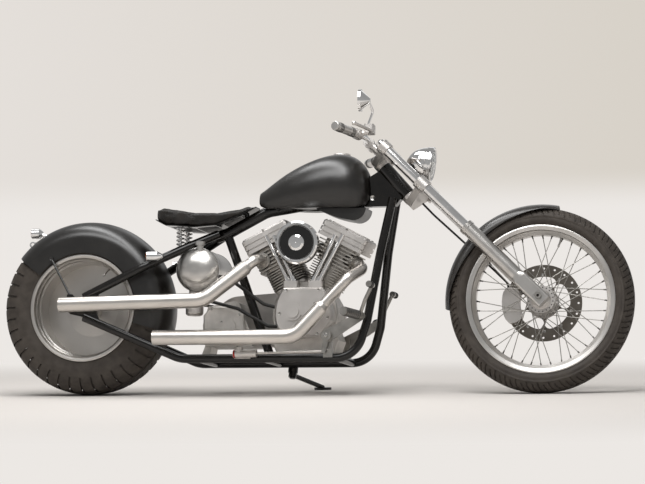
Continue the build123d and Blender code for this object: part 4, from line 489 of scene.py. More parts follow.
# Screws and nuts of each body. Rows: place, facing, radius, height, kind
across = (0, -1, 0)
frameScrews = (
    # cam cover
    ((806, -117.2, 222), across, 5, 4, "socket"), ((926, -117.2, 222), across, 5, 4, "socket"),
    ((966, -117.2, 284), across, 5, 4, "socket"), ((930, -117.2, 388), across, 5, 4, "socket"),
    ((806, -117.2, 388), across, 5, 4, "socket"), ((780, -117.2, 300), across, 5, 4, "socket"),
    ((892, -124.2, 300), across, 4, 3, "socket"), ((916, -124.2, 336), across, 4, 3, "socket"),
    # gearbox cover
    ((492, -104.2, 226), across, 5, 4, "socket"), ((518, -104.2, 198), across, 5, 4, "socket"),
    ((612, -104.2, 198), across, 5, 4, "socket"), ((632, -104.2, 222), across, 5, 4, "socket"),
    ((620, -104.2, 298), across, 5, 4, "socket"), ((510, -104.2, 318), across, 5, 4, "socket"),
    ((552, -111.2, 270), across, 4, 3, "button"), ((588, -111.2, 234), across, 4, 3, "button"),
    # primary cover, on the left
    ((560, 175, 206), (0, 1, 0), 5, 4, "socket"), ((476, 175, 292), (0, 1, 0), 5, 4, "socket"),
    ((560, 175, 376), (0, 1, 0), 5, 4, "socket"), ((660, 175, 206), (0, 1, 0), 5, 4, "socket"),
    ((770, 175, 202), (0, 1, 0), 5, 4, "socket"), ((866, 175, 202), (0, 1, 0), 5, 4, "socket"),
    ((964, 175, 300), (0, 1, 0), 5, 4, "socket"), ((866, 175, 398), (0, 1, 0), 5, 4, "socket"),
    ((770, 175, 394), (0, 1, 0), 5, 4, "socket"), ((660, 175, 382), (0, 1, 0), 5, 4, "socket"),
    ((514, 181, 292), (0, 1, 0), 4, 3, "socket"), ((606, 181, 292), (0, 1, 0), 4, 3, "socket"),
    ((560, 181, 338), (0, 1, 0), 4, 3, "socket"), ((560, 181, 246), (0, 1, 0), 4, 3, "socket"),
    ((802, 181, 300), (0, 1, 0), 4, 3, "socket"), ((890, 181, 300), (0, 1, 0), 4, 3, "socket"),
    # neck gusset
    ((1117, -22, 745), across, 10, 6, "button"), ((1117, 22, 745), (0, 1, 0), 10, 6, "button"),
    # foot controls, peg pivots
    ((979, -202, 209), across, 9, 6, "hex"), ((979, 202, 209), (0, 1, 0), 9, 6, "hex"),
    ((1108, -181, 283), across, 8, 5, "socket"), ((1108, 181, 283), (0, 1, 0), 8, 5, "socket"),
    # mounts of the foot controls on the rail
    ((979, -171, 160), across, 6, 5, "hex"), ((979, 171, 160), (0, 1, 0), 6, 5, "hex"),
    # calliper at the chain wheel
    ((100, 148, 352), (0, 1, 0), 6, 5, "socket"), ((100, 148, 304), (0, 1, 0), 6, 5, "socket"),
    ((126, 148, 328), (0, 1, 0), 4, 3, "socket"),
    # brake cylinder's lid and clamp
    ((636, -182, 168), (0, 0, 1), 7, 4, "hex"), ((630, -165.5, 152), across, 4, 3, "socket"),
    # tank mounts, drain of the oil tank
    ((455, -60, 384), (0, 0, -1), 8, 5, "hex"),
)
cylinderScrews = []
for hand in (-1, 1):
    lean = Vector((hand * math.sin(math.radians(27)), 0, math.cos(math.radians(27))))
    foot = Vector((866, 0, 300)) + lean * 361
    for u, v in ((-76, 66), (76, 66), (-76, -66), (76, -66), (0, 84), (0, -84)):
        spot = foot + Vector((0, -1, 0)) * v + lean.cross(Vector((0, -1, 0))) * u
        cylinderScrews.append((spot, lean, 4.5, 4, "socket"))
steeringScrews = []
legDir = Vector((-math.sin(math.radians(46)), 0, math.cos(math.radians(46))))
legSide = Vector((math.cos(math.radians(46)), 0, math.sin(math.radians(46))))
axleAt = steeredPlace.inverted() @ Vector(joints["front_wheel_spin"]["pos_m"]) / mm
for hand in (-1, 1):
    # clamps of both trees, pinch screws of the slider's foot, the fork's drain
    for along in (820, 612, 630):
        steeringScrews.append((
            axleAt + legDir * along + Vector((0, hand * 131, 0)) - legSide * 14, (-legSide), 4.5, 10, "socket"))
    for along in (52, 72):
        steeringScrews.append((axleAt + legDir * along + Vector((0, hand * 136.6, 0)), (0, hand, 0), 4.5, 2.6, "socket"))


def makeScrews(name, rows, place, body, finish="zincPlate"):
    bm = bmesh.new()
    for at, facing, radius, height, kind in rows:
        addScrew(bm, at, facing, radius, height, kind)
    return finishPiece(bm, name, finish, body, (), place, creaseAngle=40)


makeScrews("engineScrews", frameScrews, parkedPlace, "frame")
makeScrews("rockerBoxScrews", cylinderScrews, parkedPlace, "frame")
makeScrews("forkScrews", steeringScrews, steeredPlace, "steering")


# Wheel fasteners in each wheel's own axes: rows of radius, count, first angle, place along the axle, facing
def ringOfScrews(bm, ringRadius, count, first, out, hand, radius, height, kind="socket"):
    for i in range(count):
        angle = math.radians(first + 360 / count * i)
        at = (ringRadius * math.cos(angle), out, ringRadius * math.sin(angle))
        addScrew(bm, at, (0, hand, 0), radius, height, kind)


bm = bmesh.new()
ringOfScrews(bm, 48, 5, 38, 73.5, 1, 5, 4)
ringOfScrews(bm, 48, 5, 38, 68.5, -1, 5, 3)
ringOfScrews(bm, 108, 10, 20, 73.5, 1, 6, 2, "button")
ringOfScrews(bm, 108, 10, 20, 68.5, -1, 6, 2, "button")
finishPiece(bm, "frontDiscScrews", "zincPlate", "front_wheel", (), frontPlace, creaseAngle=40)

bm = bmesh.new()
ringOfScrews(bm, 38, 6, 0, 134, 1, 6, 4)
ringOfScrews(bm, 33, 8, 0, -31, -1, 4, 3)
finishPiece(bm, "rearWheelScrews", "zincPlate", "rear_wheel", (), rearPlace, creaseAngle=40)

# Spoke nipples: one on the outer end of each spoke, along the spoke
nippleRows = ((0, -9), (2.7, -9), (2.7, -1), (3.4, 0), (3.4, 3), (2.0, 5), (0, 5))


def makeNipples():
    source = bmesh.new()
    source.from_mesh(frame["nodes"]["front_spokes"].data)
    bmesh.ops.remove_doubles(source, verts=source.verts, dist=0.001 * mm)
    centre = frontPlace.translation
    bm = bmesh.new()
    unseen = set(source.verts)
    while unseen:
        island = set()
        heap = [unseen.pop()]
        while heap:
            vert = heap.pop()
            island.add(vert)
            for edge in vert.link_edges:
                other = edge.other_vert(vert)
                if other not in island:
                    heap.append(other)
        unseen -= island
        far = [vert.co for vert in island if (vert.co - centre).length > 0.2]
        near = [vert.co for vert in island if (vert.co - centre).length < 0.1]
        outer = sum(far, Vector()) / len(far)
        inner = sum(near, Vector()) / len(near)
        addTurned(bm, nippleRows, facingPlace(outer / mm, outer - inner, -3), 10)
    source.free()
    return finishPiece(bm, "spokeNipples", "oiledChainSteel", "front_wheel", creaseAngle=40)


makeNipples()
print("screws and nipples made")


# Valve stems, their caps toward the hub
def addValve(bm, rimRadius, angle, out, tilt):
    turn = math.radians(angle)
    outward = Vector((math.cos(turn), 0, math.sin(turn)))
    at = outward * rimRadius + Vector((0, out, 0))
    addTurned(bm, ((0, 0), (5, 0), (5, 3), (3, 4), (3, 26), (3.8, 27), (3.8, 36), (2.5, 38), (0, 38)),
              facingPlace(at, -outward + Vector((0, tilt, 0))), 16)


bm = bmesh.new()
addValve(bm, 249, 73, 0, 0)
finishPiece(bm, "frontValve", "zincPlate", "front_wheel", (), frontPlace)
bm = bmesh.new()
addValve(bm, 177, 60, -60, -0.6)
finishPiece(bm, "rearValve", "zincPlate", "rear_wheel", (), rearPlace)


# Roller chain on the same path as its solid: rollers, inner and outer plates, pin heads
chainLook = {
    "pitch": 15.875,
    "rear": (0, 327 - 150 + 150 / math.cos(math.radians(6.55)), 101.17),
    "front": (560, 292, 38.18),
    "middle": 131,
    "plateHigh": 13,
    "plateThick": 1.6,
}


def chainPath(look):
    (rearX, rearZ, rearR), (frontX, frontZ, frontR) = look["rear"], look["front"]
    run = math.hypot(frontX - rearX, frontZ - rearZ)
    slope = math.atan2(frontZ - rearZ, frontX - rearX)
    wrap = math.asin((rearR - frontR) / run)
    topTurn = slope - wrap + math.pi / 2
    lowTurn = slope + wrap - math.pi / 2
    points = []
    for i in range(33):
        angle = lowTurn + (topTurn - 2 * math.pi - lowTurn) * i / 32
        points.append((rearX + rearR * math.cos(angle), rearZ + rearR * math.sin(angle)))
    for i in range(17):
        angle = topTurn + (lowTurn - topTurn) * i / 16
        points.append((frontX + frontR * math.cos(angle), frontZ + frontR * math.sin(angle)))
    return points + points[:1]


def evenPoints(path, pitch):
    lengths = [math.dist(a, b) for a, b in zip(path, path[1:])]
    count = round(sum(lengths) / pitch / 2) * 2
    step = sum(lengths) / count
    spots, used, part = [], 0.0, 0
    for i in range(count):
        want = i * step
        while used + lengths[part] < want:
            used += lengths[part]
            part += 1
        t = (want - used) / lengths[part]
        spots.append(Vector((
            path[part][0] * (1 - t) + path[part + 1][0] * t, 0, path[part][1] * (1 - t) + path[part + 1][1] * t)))
    return spots


def addPlate(bm, start, end, middle, high, thick):
    centre = (start + end) / 2
    along = (end - start).normalized()
    length = (end - start).length
    turn = Matrix((along, Vector((-along.z, 0, along.x)), Vector((0, -1, 0)))).transposed().to_4x4()
    turn.translation = (centre + Vector((0, middle, 0))) * mm
    made = bmesh.ops.create_circle(bm, cap_ends=True, segments=16, radius=high / 2 * mm)
    for vert in made["verts"]:
        if abs(vert.co.x) < 0.01 * mm:
            vert.co.y *= 0.72
        vert.co.x += math.copysign(length / 2 * mm, vert.co.x) if abs(vert.co.x) > 0.01 * mm else 0
    face = next(iter({face for vert in made["verts"] for face in vert.link_faces}))
    before = set(bm.verts) - set(made["verts"])
    grown = bmesh.ops.extrude_face_region(bm, geom=[face], use_keep_orig=True)
    raised = [part for part in grown["geom"] if isinstance(part, bmesh.types.BMVert)]
    bmesh.ops.translate(bm, verts=raised, vec=(0, 0, thick * mm))
    moveNew(bm, before, turn @ Matrix.Translation((0, 0, -thick / 2 * mm)))


def makeChain(look):
    bm = bmesh.new()
    spots = evenPoints(chainPath(look), look["pitch"])
    middle = look["middle"]
    for i, (start, end) in enumerate(zip(spots, spots[1:] + spots[:1])):
        outs = (6.9, -6.9) if i % 2 else (4.9, -4.9)
        for out in outs:
            addPlate(bm, start, end, middle + out, look["plateHigh"], look["plateThick"])
        addTurned(bm, ((5.0, -4), (5.0, 4)), facingPlace(start + Vector((0, middle, 0)), (0, 1, 0)), 12)
        addTurned(bm, ((0, -8), (2.2, -8), (2.2, 8), (0, 8)), facingPlace(start + Vector((0, middle, 0)), (0, 1, 0)), 8)
    return finishPiece(bm, "rollerChain", "oiledChainSteel", "frame", ("drive_chain",), parkedPlace,
                       creaseAngle=40)


makeChain(chainLook)
print("chain made")


# Coil springs under the pad: round wire between two cups
springLook = {"at": (372, 539), "spread": 58, "radius": 13.5, "wire": 3.2, "turns": 5.5, "low": 552, "high": 632}


def makeSprings(look):
    bm = bmesh.new()
    for hand in (-1, 1):
        x, y = look["at"][0], hand * look["spread"]
        points = []
        count = int(look["turns"] * 20)
        for i in range(count + 1):
            angle = 2 * math.pi * look["turns"] * i / count
            height = look["low"] + (look["high"] - look["low"]) * i / count
            points.append((x + look["radius"] * math.cos(angle), y + look["radius"] * math.sin(angle), height))
        addTube(bm, points, look["wire"], 10)
        addTurned(bm, ((0, -1), (17, -1), (17, 3), (11, 4), (11, 8), (0, 8)),
                  facingPlace((x, y, look["low"] - 4), (0, 0, 1)), 32)
        addTurned(bm, ((0, 0), (17, 0), (17, 3), (0, 3)), facingPlace((x, y, look["high"] + 1), (0, 0, 1)), 32)
        addTurned(bm, ((0, 0), (5, 0), (5, 82), (0, 82)), facingPlace((x, y, look["low"]), (0, 0, 1)), 16)
    return finishPiece(bm, "coilSprings", "chromePlate", "frame", ("seat_springs",), parkedPlace,
                       creaseAngle=40)


makeSprings(springLook)


# Fenders: a crown that runs round into its sides, down to a hem. Radii are from the axle, angles from straight
# ahead. The front one's hem is a large round, so that its sides taper toward both tips.
rearFenderLook = {
    "crownR": 341,
    "sideR": 268,
    "hemR": 212,
    "tipR": 212,
    "half": 121.5,
    "wall": 2.5,
    "from": -16,
    "to": 143,
    "strutAt": 123,
    "strutFoot": (-34, 153.9, chainLook["rear"][1] + 38),
    "strutR": 4.5,
}
frontFenderLook = {
    "crownR": 365,
    "sideR": 322,
    "hemR": 317,
    "tipR": 354,
    "half": 69.5,
    "wall": 2.5,
    "from": 80,
    "to": 185,
    "rodsAt": (326, 350),
    "rodEnds": (67, 84.2),
    "rodR": 6,
}


def hemRadius(look, angle):
    low, tip = look["hemR"], look["tipR"]
    halfTurn = math.radians(look["to"] - look["from"]) / 2
    back = (tip ** 2 - low ** 2) / (2 * (low - tip * math.cos(halfTurn)))
    away = angle - math.radians(look["from"] + look["to"]) / 2
    return math.sqrt((low + back) ** 2 - (back * math.sin(away)) ** 2) - back * math.cos(away)


def addFender(bm, look, axle, stations=72, columns=36):
    made = bmesh.ops.create_grid(bm, x_segments=stations, y_segments=columns, size=0.5)
    rise = look["crownR"] - look["sideR"]
    for vert in made["verts"]:
        angle = math.radians(look["from"] + (look["to"] - look["from"]) * (vert.co.x + 0.5))
        hem = hemRadius(look, angle)
        widest = math.acos((max(look["sideR"], hem + 2) - look["sideR"]) / rise)
        column = round((vert.co.y + 0.5) * columns)
        turn = widest * max(-1, min(1, (column - columns / 2) / (columns / 2 - 1)))
        radius = hem if column in (0, columns) else look["sideR"] + rise * math.cos(turn)
        vert.co = Vector((radius * math.cos(angle), look["half"] * math.sin(turn), radius * math.sin(angle))) * mm
    bm.normal_update()
    shown = next(iter(bm.faces))
    if shown.normal.dot(shown.calc_center_median()) < 0:
        bmesh.ops.reverse_faces(bm, faces=bm.faces[:])
    bmesh.ops.solidify(bm, geom=bm.faces[:], thickness=look["wall"] * mm)
    bmesh.ops.translate(bm, verts=bm.verts[:], vec=axle * mm)


def makeRearFender(look):
    axle = Vector((0, 0, chainLook["rear"][1]))
    bm = bmesh.new()
    addFender(bm, look, axle)
    turn = math.radians(look["strutAt"])
    for hand in (-1, 1):
        top = axle + Vector(((look["hemR"] + 14) * math.cos(turn), hand * (look["half"] + look["strutR"] - 1),
                             (look["hemR"] + 14) * math.sin(turn)))
        foot = Vector((look["strutFoot"][0], hand * look["strutFoot"][1], look["strutFoot"][2]))
        addTube(bm, (top, foot), look["strutR"], 16)
        addScrew(bm, top + Vector((0, hand * look["strutR"] * 0.6, 0)), (0, hand, 0), 7, 4, "button")
    return finishPiece(bm, "roundedRearFender", "flattedBlack", "frame", ("rear_fender",), parkedPlace,
                       creaseAngle=50)


def makeFrontFender(look):
    bm = bmesh.new()
    addFender(bm, look, axleAt, stations=60)
    for hand in (-1, 1):
        for along in look["rodsAt"]:
            ends = [axleAt + legDir * along + Vector((0, hand * out, 0)) for out in look["rodEnds"]]
            addTube(bm, ends, look["rodR"], 20)
    return finishPiece(bm, "roundedFrontFender", "satinGraphite", "steering", ("front_fender",),
                       steeredPlace, creaseAngle=50)


makeRearFender(rearFenderLook)
makeFrontFender(frontFenderLook)
print("fenders made")


# Seat: hide drawn over foam, swelled by a cloth simulation, then piped and sewn round its edge
seatLook = {
    "voxel": 5,
    "shrink": 3.5,
    "pressure": 4,
    "frames": 20,
    "mostMove": 7,
    "seamDown": 12,
    "pipingR": 2.6,
    "pipingPitch": 12,
    "stitchIn": 13,
    "stitchLong": 5,
    "stitchPitch": 8,
    "threadR": 0.8,
}


def coverPad(look):
    bm = bmesh.new()
    bm.from_mesh(frame["nodes"]["seat_cushion"].data)
    bmesh.ops.remove_doubles(bm, verts=bm.verts, dist=0.01 * mm)
    bm.normal_update()
    for vert, inward in [(vert, -vert.normal) for vert in bm.verts]:
        vert.co += inward * look["shrink"] * mm
    mesh = bpy.data.meshes.new("seatPad")
    bm.to_mesh(mesh)
    bm.free()
    pad = bpy.data.objects.new("seatPad", mesh)
    bpy.context.scene.collection.objects.link(pad)
    remesh = pad.modifiers.new("even", "REMESH")
    remesh.mode = "VOXEL"
    remesh.voxel_size = look["voxel"] * mm
    applyModifiers(pad)
    start = [vert.co.copy() for vert in pad.data.vertices]
    cloth = pad.modifiers.new("hide", "CLOTH")
    cloth.settings.use_pressure = True
    cloth.settings.uniform_pressure_force = look["pressure"]
    cloth.settings.effector_weights.gravity = 0
    cloth.point_cache.frame_end = look["frames"]
    for step in range(1, look["frames"] + 1):
        bpy.context.scene.frame_set(step)
    applyModifiers(pad)
    bpy.context.scene.frame_set(1)
    for vert, place in zip(pad.data.vertices, start):
        move = vert.co - place
        if move.length > look["mostMove"] * mm:
            vert.co = place + move.normalized() * look["mostMove"] * mm
    smooth = pad.modifiers.new("fine", "SUBSURF")
    smooth.levels = smooth.render_levels = 1
    applyModifiers(pad)
    for face in pad.data.polygons:
        face.use_smooth = True
    pad.data.materials.append(finishes["seatHide"])
    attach(pad, "frame")
    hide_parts("seat_cushion")
    return pad


def applyModifiers(piece):
    shown = piece.evaluated_get(bpy.context.evaluated_depsgraph_get())
    mesh = bpy.data.meshes.new_from_object(shown)
    piece.modifiers.clear()
    piece.data = mesh


# The cushion's upper rim as one closed row of points, from the edges between its top and its walls
def upperRim(node):
    bm = bmesh.new()
    bm.from_mesh(node.data)
    bmesh.ops.remove_doubles(bm, verts=bm.verts, dist=0.01 * mm)
    bm.normal_update()
    rim = {edge for edge in bm.edges if len(edge.link_faces) == 2
           and max(face.normal.z for face in edge.link_faces) > 0.7
           and min(abs(face.normal.z) for face in edge.link_faces) < 0.35}
    edge = next(iter(rim))
    vert = edge.verts[0]
    row = []
    while edge is not None:
        row.append(vert.co.copy())
        rim.discard(edge)
        vert = edge.other_vert(vert)
        edge = next((other for other in vert.link_edges if other in rim), None)
    bm.free()
    return row


def spacedPoints(row, pitch):
    closed = row + row[:1]
    lengths = [(b - a).length for a, b in zip(closed, closed[1:])]
    count = round(sum(lengths) / pitch)
    spots, used, part = [], 0.0, 0
    for i in range(count):
        want = i * sum(lengths) / count
        while used + lengths[part] < want:
            used += lengths[part]
            part += 1
        spots.append(closed[part].lerp(closed[part + 1], (want - used) / lengths[part]))
    return spots


def sewPad(pad, look):
    skin = bmesh.new()
    skin.from_mesh(pad.data)
    tree = bvhtree.BVHTree.FromBMesh(skin)
    skin.free()
    rim = upperRim(frame["nodes"]["seat_cushion"])
    centre = sum(rim, Vector()) / len(rim)
    seam = []
    for spot in spacedPoints(rim, look["pipingPitch"] * mm):
        outward = ((spot - centre) * Vector((1, 1, 0))).normalized()
        seam.append(tree.find_nearest(spot + outward * 0.01 - Vector((0, 0, look["seamDown"] * mm)))[0])
    bm = bmesh.new()
    addTube(bm, [spot / mm for spot in seam + seam[:1]], look["pipingR"], 10)
    finishPiece(bm, "seatPiping", "seatHide", "frame", creaseAngle=60)
    bm = bmesh.new()
    spots = spacedPoints(rim, look["stitchPitch"] * mm)
    for spot, after in zip(spots, spots[1:] + spots[:1]):
        inward = ((centre - spot) * Vector((1, 1, 0))).normalized()
        on, normal, unused, unused = tree.find_nearest(spot + inward * look["stitchIn"] * mm + Vector((0, 0, 0.01)))
        run = (after - spot).normalized() * look["stitchLong"] / 2 * mm
        arch = normal * look["threadR"] * mm
        addTube(bm, [point / mm for point in (on - run - arch, on - run * 0.7 + arch * 0.5, on + run * 0.7 + arch * 0.5,
                                              on + run - arch)], look["threadR"], 6)
    finishPiece(bm, "seatStitches", "waxedThread", "frame", creaseAngle=60)


seatPad = coverPad(seatLook)
sewPad(seatPad, seatLook)
print("seat covered:", len(seatPad.data.polygons), "faces")


# Lamps: reflector behind the clear lens, ribbed glass in the tail and turn lamps, silvered glass in the mirror
lampTilt = math.radians(8)
lampDir = Vector((math.cos(lampTilt), 0, -math.sin(lampTilt)))
lampAt = Vector((1296, 0, 879))
bm = bmesh.new()
addTurned(bm, ((0, 36.6), (8, 36.6), (20, 37.2), (40, 40), (54, 45.5), (55.5, 45.5), (55.5, 36.5), (0, 36.4)),
          facingPlace(lampAt, lampDir), 64)
finishPiece(bm, "lampReflector", "mirrorGlass", "steering", (), steeredPlace)
bm = bmesh.new()
addTurned(bm, ((56, 42), (56, 46), (50, 48.4), (38, 51.4), (24, 53.8), (12, 55), (0, 55.4), (0, 52.4), (24, 51),
               (38, 48.6), (50, 45.6), (53, 42), (56, 42)), facingPlace(lampAt, lampDir), 64)
finishPiece(bm, "headlampGlass", "clearLens", "steering", ("headlamp_lens",), steeredPlace)
bm = bmesh.new()
addTurned(bm, ((57, 45), (62, 49.5), (66.5, 46), (67.5, 40), (66.4, 36)), facingPlace(lampAt, lampDir), 64)
addTurned(bm, ((0, 0), (9, 0), (9, 12), (7, 14), (0, 14)), facingPlace(lampAt + lampDir * 38, lampDir), 24)
finishPiece(bm, "lampRing", "chromePlate", "steering", (), steeredPlace)
bm = bmesh.new()
addTurned(bm, ((0, 0), (17, 0), (17, 2), (12, 3.4), (0, 4)), facingPlace((-240, 0, 629), (-1, 0, 0)), 32)
finishPiece(bm, "tailGlass", "redLens", "frame", (), parkedPlace)
bm = bmesh.new()
for hand in (-1, 1):
    addTurned(bm, ((0, 0), (15.5, 0), (15.5, 2), (11, 4), (0, 5)), facingPlace((278, hand * 190, 516), (-1, 0, 0)), 32)
finishPiece(bm, "turnLampGlass", "amberLens", "frame", (), parkedPlace)
bm = bmesh.new()
addTurned(bm, ((0, 0), (37.6, 0), (37.6, 1.8), (0, 1.8)), facingPlace((1104.3, -300, 1066), (-1, 0, 0)), 48)
finishPiece(bm, "mirrorGlass", "mirrorGlass", "steering", (), steeredPlace)
print("lamps made")


# Air cleaner: the black dish inside its chrome ring
bm = bmesh.new()
addTurned(bm, ((30.5, 40.8), (30.5, 41.2), (64.6, 39.2), (64.6, 38.4)),
          facingPlace((850, -112, 565), across), 64)
finishPiece(bm, "cleanerDish", "dishEnamel", "frame", (), parkedPlace)

# Exhaust flanges and their nuts, and the narrow clamp where each header meets its wide pipe
bm = bmesh.new()
for port, inner in (((1064, -66, 488), (1022, -30, 508)), ((701, -78, 505), (704, -40, 506))):
    outward = (Vector(port) - Vector(inner)).normalized()
    addTurned(bm, ((21.3, 0), (31, 0), (31, 6), (21.3, 6)), facingPlace(port, outward), 40)
    sideways = outward.orthogonal().normalized()
    for hand in (-1, 1):
        spot = Vector(port) + sideways * hand * 25 + outward * 6
        addScrew(bm, spot, outward, 5, 5, "hex")
finishPiece(bm, "exhaustFlanges", "groundSteel", "frame", (), parkedPlace)

# Rubber rings on the pegs and pedal pads, ribbed bands on the grips
bm = bmesh.new()
for hand in (-1, 1):
    pegFoot = Vector((1108, hand * 174, 283))
    pegDir = Vector((-0.31, hand * 0.95, 0.06)).normalized()
    for along in range(34, 130, 13):
        addTurned(bm, ((15.5, -2.4), (17, -1.8), (17.6, 0), (17, 1.8), (15.5, 2.4)),
                  facingPlace(pegFoot + pegDir * along, pegDir), 24)
    for along in (24, 36, 48, 60):
        addTurned(bm, ((10.5, -2.2), (12, -1.6), (12.5, 0), (12, 1.6), (10.5, 2.2)),
                  facingPlace((1152, hand * (188 + along), 396), (0, hand, 0)), 20)
finishPiece(bm, "footRubbers", "hoseRubber", "frame", (), parkedPlace)
gripIn, gripOut = Vector((1088, 285, 944)), Vector((1033, 402, 951))
bm = bmesh.new()
for hand in (-1, 1):
    inner = Vector((gripIn.x, hand * gripIn.y, gripIn.z))
    run = (Vector((gripOut.x, hand * gripOut.y, gripOut.z)) - inner).normalized()
    for along in (22, 30, 38, 98, 106, 114):
        addTurned(bm, ((17.2, -1.6), (18.3, -1.0), (18.3, 1.0), (17.2, 1.6)), facingPlace(inner + run * along, run), 32)
finishPiece(bm, "gripRings", "hoseRubber", "steering", (), steeredPlace)

# Red ring on the rear end of the brake cylinder
bm = bmesh.new()
addTurned(bm, ((14.6, 0), (15.8, 0.6), (15.8, 6.4), (14.6, 7)), facingPlace((619, -182, 142), (1, 0, 0.02)), 40)
finishPiece(bm, "brakeCylinderRing", "redAnodised", "frame", (), parkedPlace)

# Balls on the ends of the hand levers
bm = bmesh.new()
for hand in (-1, 1):
    inner = Vector((gripIn.x, hand * gripIn.y, gripIn.z))
    run = (Vector((gripOut.x, hand * gripOut.y, gripOut.z)) - inner).normalized()
    bmesh.ops.create_uvsphere(bm, u_segments=24, v_segments=16, radius=8.5 * mm,
                              matrix=Matrix.Translation((inner + run * 112 + Vector((58, 0, 14))) * mm))
finishPiece(bm, "leverBalls", "polishedAluminium", "steering", (), steeredPlace)

# Painted shade for the holes of the front hub's flange: thin black discs on the flange face, seen as dark dots between
# the spoke heads
bm = bmesh.new()
for i in range(20):
    angle = math.radians(18 * i + 9)
    addTurned(bm, ((0, 0.25), (2.4, 0.25), (2.4, 0)),
              facingPlace((46 * math.cos(angle), -37.5, 46 * math.sin(angle)), (0, -1, 0)), 12)
finishPiece(bm, "hubHolePaintedShade", "hoseRubber", "front_wheel", (), frontPlace)

# Seam rings of the oil tank
bm = bmesh.new()
for y in (-106, 106):
    addTurned(bm, ((83.4, -2.5), (85.2, -2), (85.2, 2), (83.4, 2.5)), facingPlace((455, y, 470), across), 72)
finishPiece(bm, "oilTankSeams", "polishedAluminium", "frame", (), parkedPlace)
print("trim made")


# Studio: one pale floor that fades into the backdrop's colour, one large soft box above and a graded room
studio = {
    "floorRadius": 30,
    "floorHex": "#d2cdc8",
    # the backdrop's two ends: lighter on the left, darker on the right, a painted light falloff
    "leftHex": "#e4dfda",
    "rightHex": "#d8d2c9",
    "sweepHex": "#ece8e4",
    "sweepLow": 0.001,
    "sweepHigh": 0.014,
    "centre": (2.88, -12.76, 0.67),
    "fadeFrom": 0.9,
    "fadeTo": 3.0,
    "fadeShape": (0.42, 1, 1),
}
# Brightness of the room against height: straight down, level, a third of the way up, straight up
roomStops = ((0.0, 0.45), (0.5, 0.42), (0.66, 0.38), (1.0, 0.34))
softBoxes = (
    # name, place, aimed at, width, height, watts
    ("overhead", (-0.3, -0.3, 3.2), (0, 0, 0.5), 4.4, 0.8, 78),
    ("cameraSide", (-0.6, -2.4, 3.8), (0, 0.2, 0.3), 3.8, 1.7, 105),
    ("behind", (0.5, 4.4, 3.0), (0, 0, 0.5), 4.0, 1.6, 14),
)


# Backdrop's colour from left to right, seen along a direction from the studio's centre: lighter to the left and darker
# to the right, a painted light falloff, turning to the pale sweep colour near and below the level
def backdropColour(tree, direction, settings):
    parts = addNode(tree, "ShaderNodeSeparateXYZ", {"Vector": direction})
    spread = addNode(tree, "ShaderNodeMapRange", {
        "Value": parts.outputs["X"], "From Min": -0.31, "From Max": -0.13})
    ramp = addNode(tree, "ShaderNodeValToRGB", {"Fac": spread.outputs["Result"]})
    ramp.color_ramp.elements[0].color = linearColour(settings["leftHex"])
    ramp.color_ramp.elements[1].color = linearColour(settings["rightHex"])
    height = addNode(tree, "ShaderNodeMapRange", {
        "Value": parts.outputs["Z"], "From Min": settings["sweepLow"], "From Max": settings["sweepHigh"]},
        interpolation_type="SMOOTHSTEP")
    sweep = addNode(tree, "ShaderNodeMixRGB", {
        "Fac": height.outputs["Result"], "Color1": linearColour(settings["sweepHex"]), "Color2": ramp.outputs["Color"]})
    return sweep.outputs["Color"]


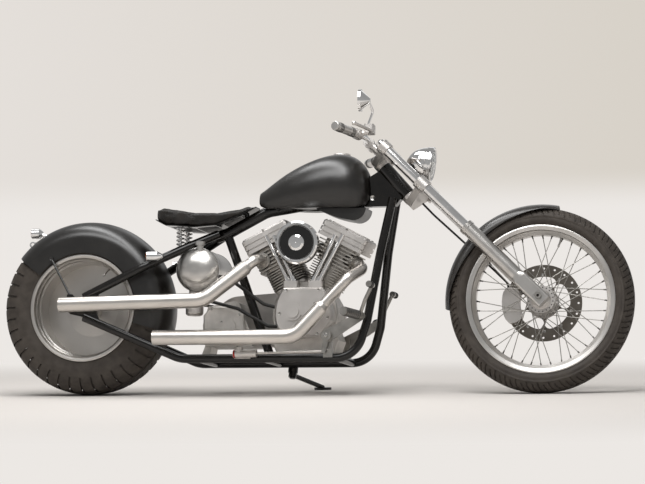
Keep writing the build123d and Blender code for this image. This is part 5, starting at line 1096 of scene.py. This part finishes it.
def makeStudio(settings, boxes):
    floorMaterial = bpy.data.materials.new("studioPaperFloor")
    floorMaterial.use_nodes = True
    tree = floorMaterial.node_tree
    tree.nodes.clear()
    place = addNode(tree, "ShaderNodeTexCoord").outputs["Object"]
    oval = addNode(tree, "ShaderNodeVectorMath", {0: place, 1: settings["fadeShape"]}, operation="MULTIPLY")
    away = addNode(tree, "ShaderNodeVectorMath", {0: oval.outputs["Vector"]}, operation="LENGTH")
    fade = addNode(tree, "ShaderNodeMapRange", {
        "Value": away.outputs["Value"], "From Min": settings["fadeFrom"], "From Max": settings["fadeTo"]},
        interpolation_type="SMOOTHSTEP")
    offset = addNode(tree, "ShaderNodeVectorMath", {0: place, 1: settings["centre"]}, operation="SUBTRACT")
    direction = addNode(tree, "ShaderNodeVectorMath", {0: offset.outputs["Vector"]}, operation="NORMALIZE")
    paper = addNode(tree, "ShaderNodeBsdfDiffuse", {"Color": linearColour(settings["floorHex"])})
    glow = addNode(tree, "ShaderNodeEmission", {
        "Color": backdropColour(tree, direction.outputs["Vector"], settings), "Strength": 1})
    mixed = addNode(tree, "ShaderNodeMixShader", {
        0: fade.outputs["Result"], 1: paper.outputs["BSDF"], 2: glow.outputs["Emission"]})
    addNode(tree, "ShaderNodeOutputMaterial", {"Surface": mixed.outputs["Shader"]})
    bm = bmesh.new()
    bmesh.ops.create_circle(bm, cap_ends=True, segments=96, radius=settings["floorRadius"])
    mesh = bpy.data.meshes.new("studioFloor")
    bm.to_mesh(mesh)
    bm.free()
    mesh.materials.append(floorMaterial)
    floor = bpy.data.objects.new("studioFloor", mesh)
    bpy.context.scene.collection.objects.link(floor)

    world = bpy.data.worlds.new("studioRoom")
    world.use_nodes = True
    tree = world.node_tree
    tree.nodes.clear()
    direction = addNode(tree, "ShaderNodeTexCoord").outputs["Generated"]
    parts = addNode(tree, "ShaderNodeSeparateXYZ", {"Vector": direction})
    upward = addNode(tree, "ShaderNodeMapRange", {"Value": parts.outputs["Z"], "From Min": -1, "From Max": 1})
    room = addNode(tree, "ShaderNodeValToRGB", {"Fac": upward.outputs["Result"]})
    for i, (stop, level) in enumerate(roomStops):
        element = room.color_ramp.elements[i] if i < 2 else room.color_ramp.elements.new(stop)
        element.position = stop
        element.color = (level, level, level, 1)
    rays = addNode(tree, "ShaderNodeLightPath")
    seen = addNode(tree, "ShaderNodeMath", {
        0: rays.outputs["Is Camera Ray"], 1: rays.outputs["Is Transmission Ray"]}, operation="ADD")
    plain = addNode(tree, "ShaderNodeBackground", {"Color": room.outputs["Color"], "Strength": 1})
    backdrop = addNode(tree, "ShaderNodeBackground", {
        "Color": backdropColour(tree, direction, settings), "Strength": 1})
    mixed = addNode(tree, "ShaderNodeMixShader", {
        0: seen.outputs["Value"], 1: plain.outputs["Background"], 2: backdrop.outputs["Background"]})
    addNode(tree, "ShaderNodeOutputWorld", {"Surface": mixed.outputs["Shader"]})
    bpy.context.scene.world = world

    for name, place, aim, width, height, watts in boxes:
        light = bpy.data.lights.new(name, "AREA")
        light.shape = "RECTANGLE"
        light.size = width
        light.size_y = height
        light.energy = watts
        lamp = bpy.data.objects.new(name, light)
        lamp.location = place
        lamp.rotation_euler = (Vector(aim) - Vector(place)).to_track_quat("-Z", "Y").to_euler()
        bpy.context.scene.collection.objects.link(lamp)


makeStudio(studio, softBoxes)
bpy.context.scene.view_settings.view_transform = "Standard"
print("studio made")
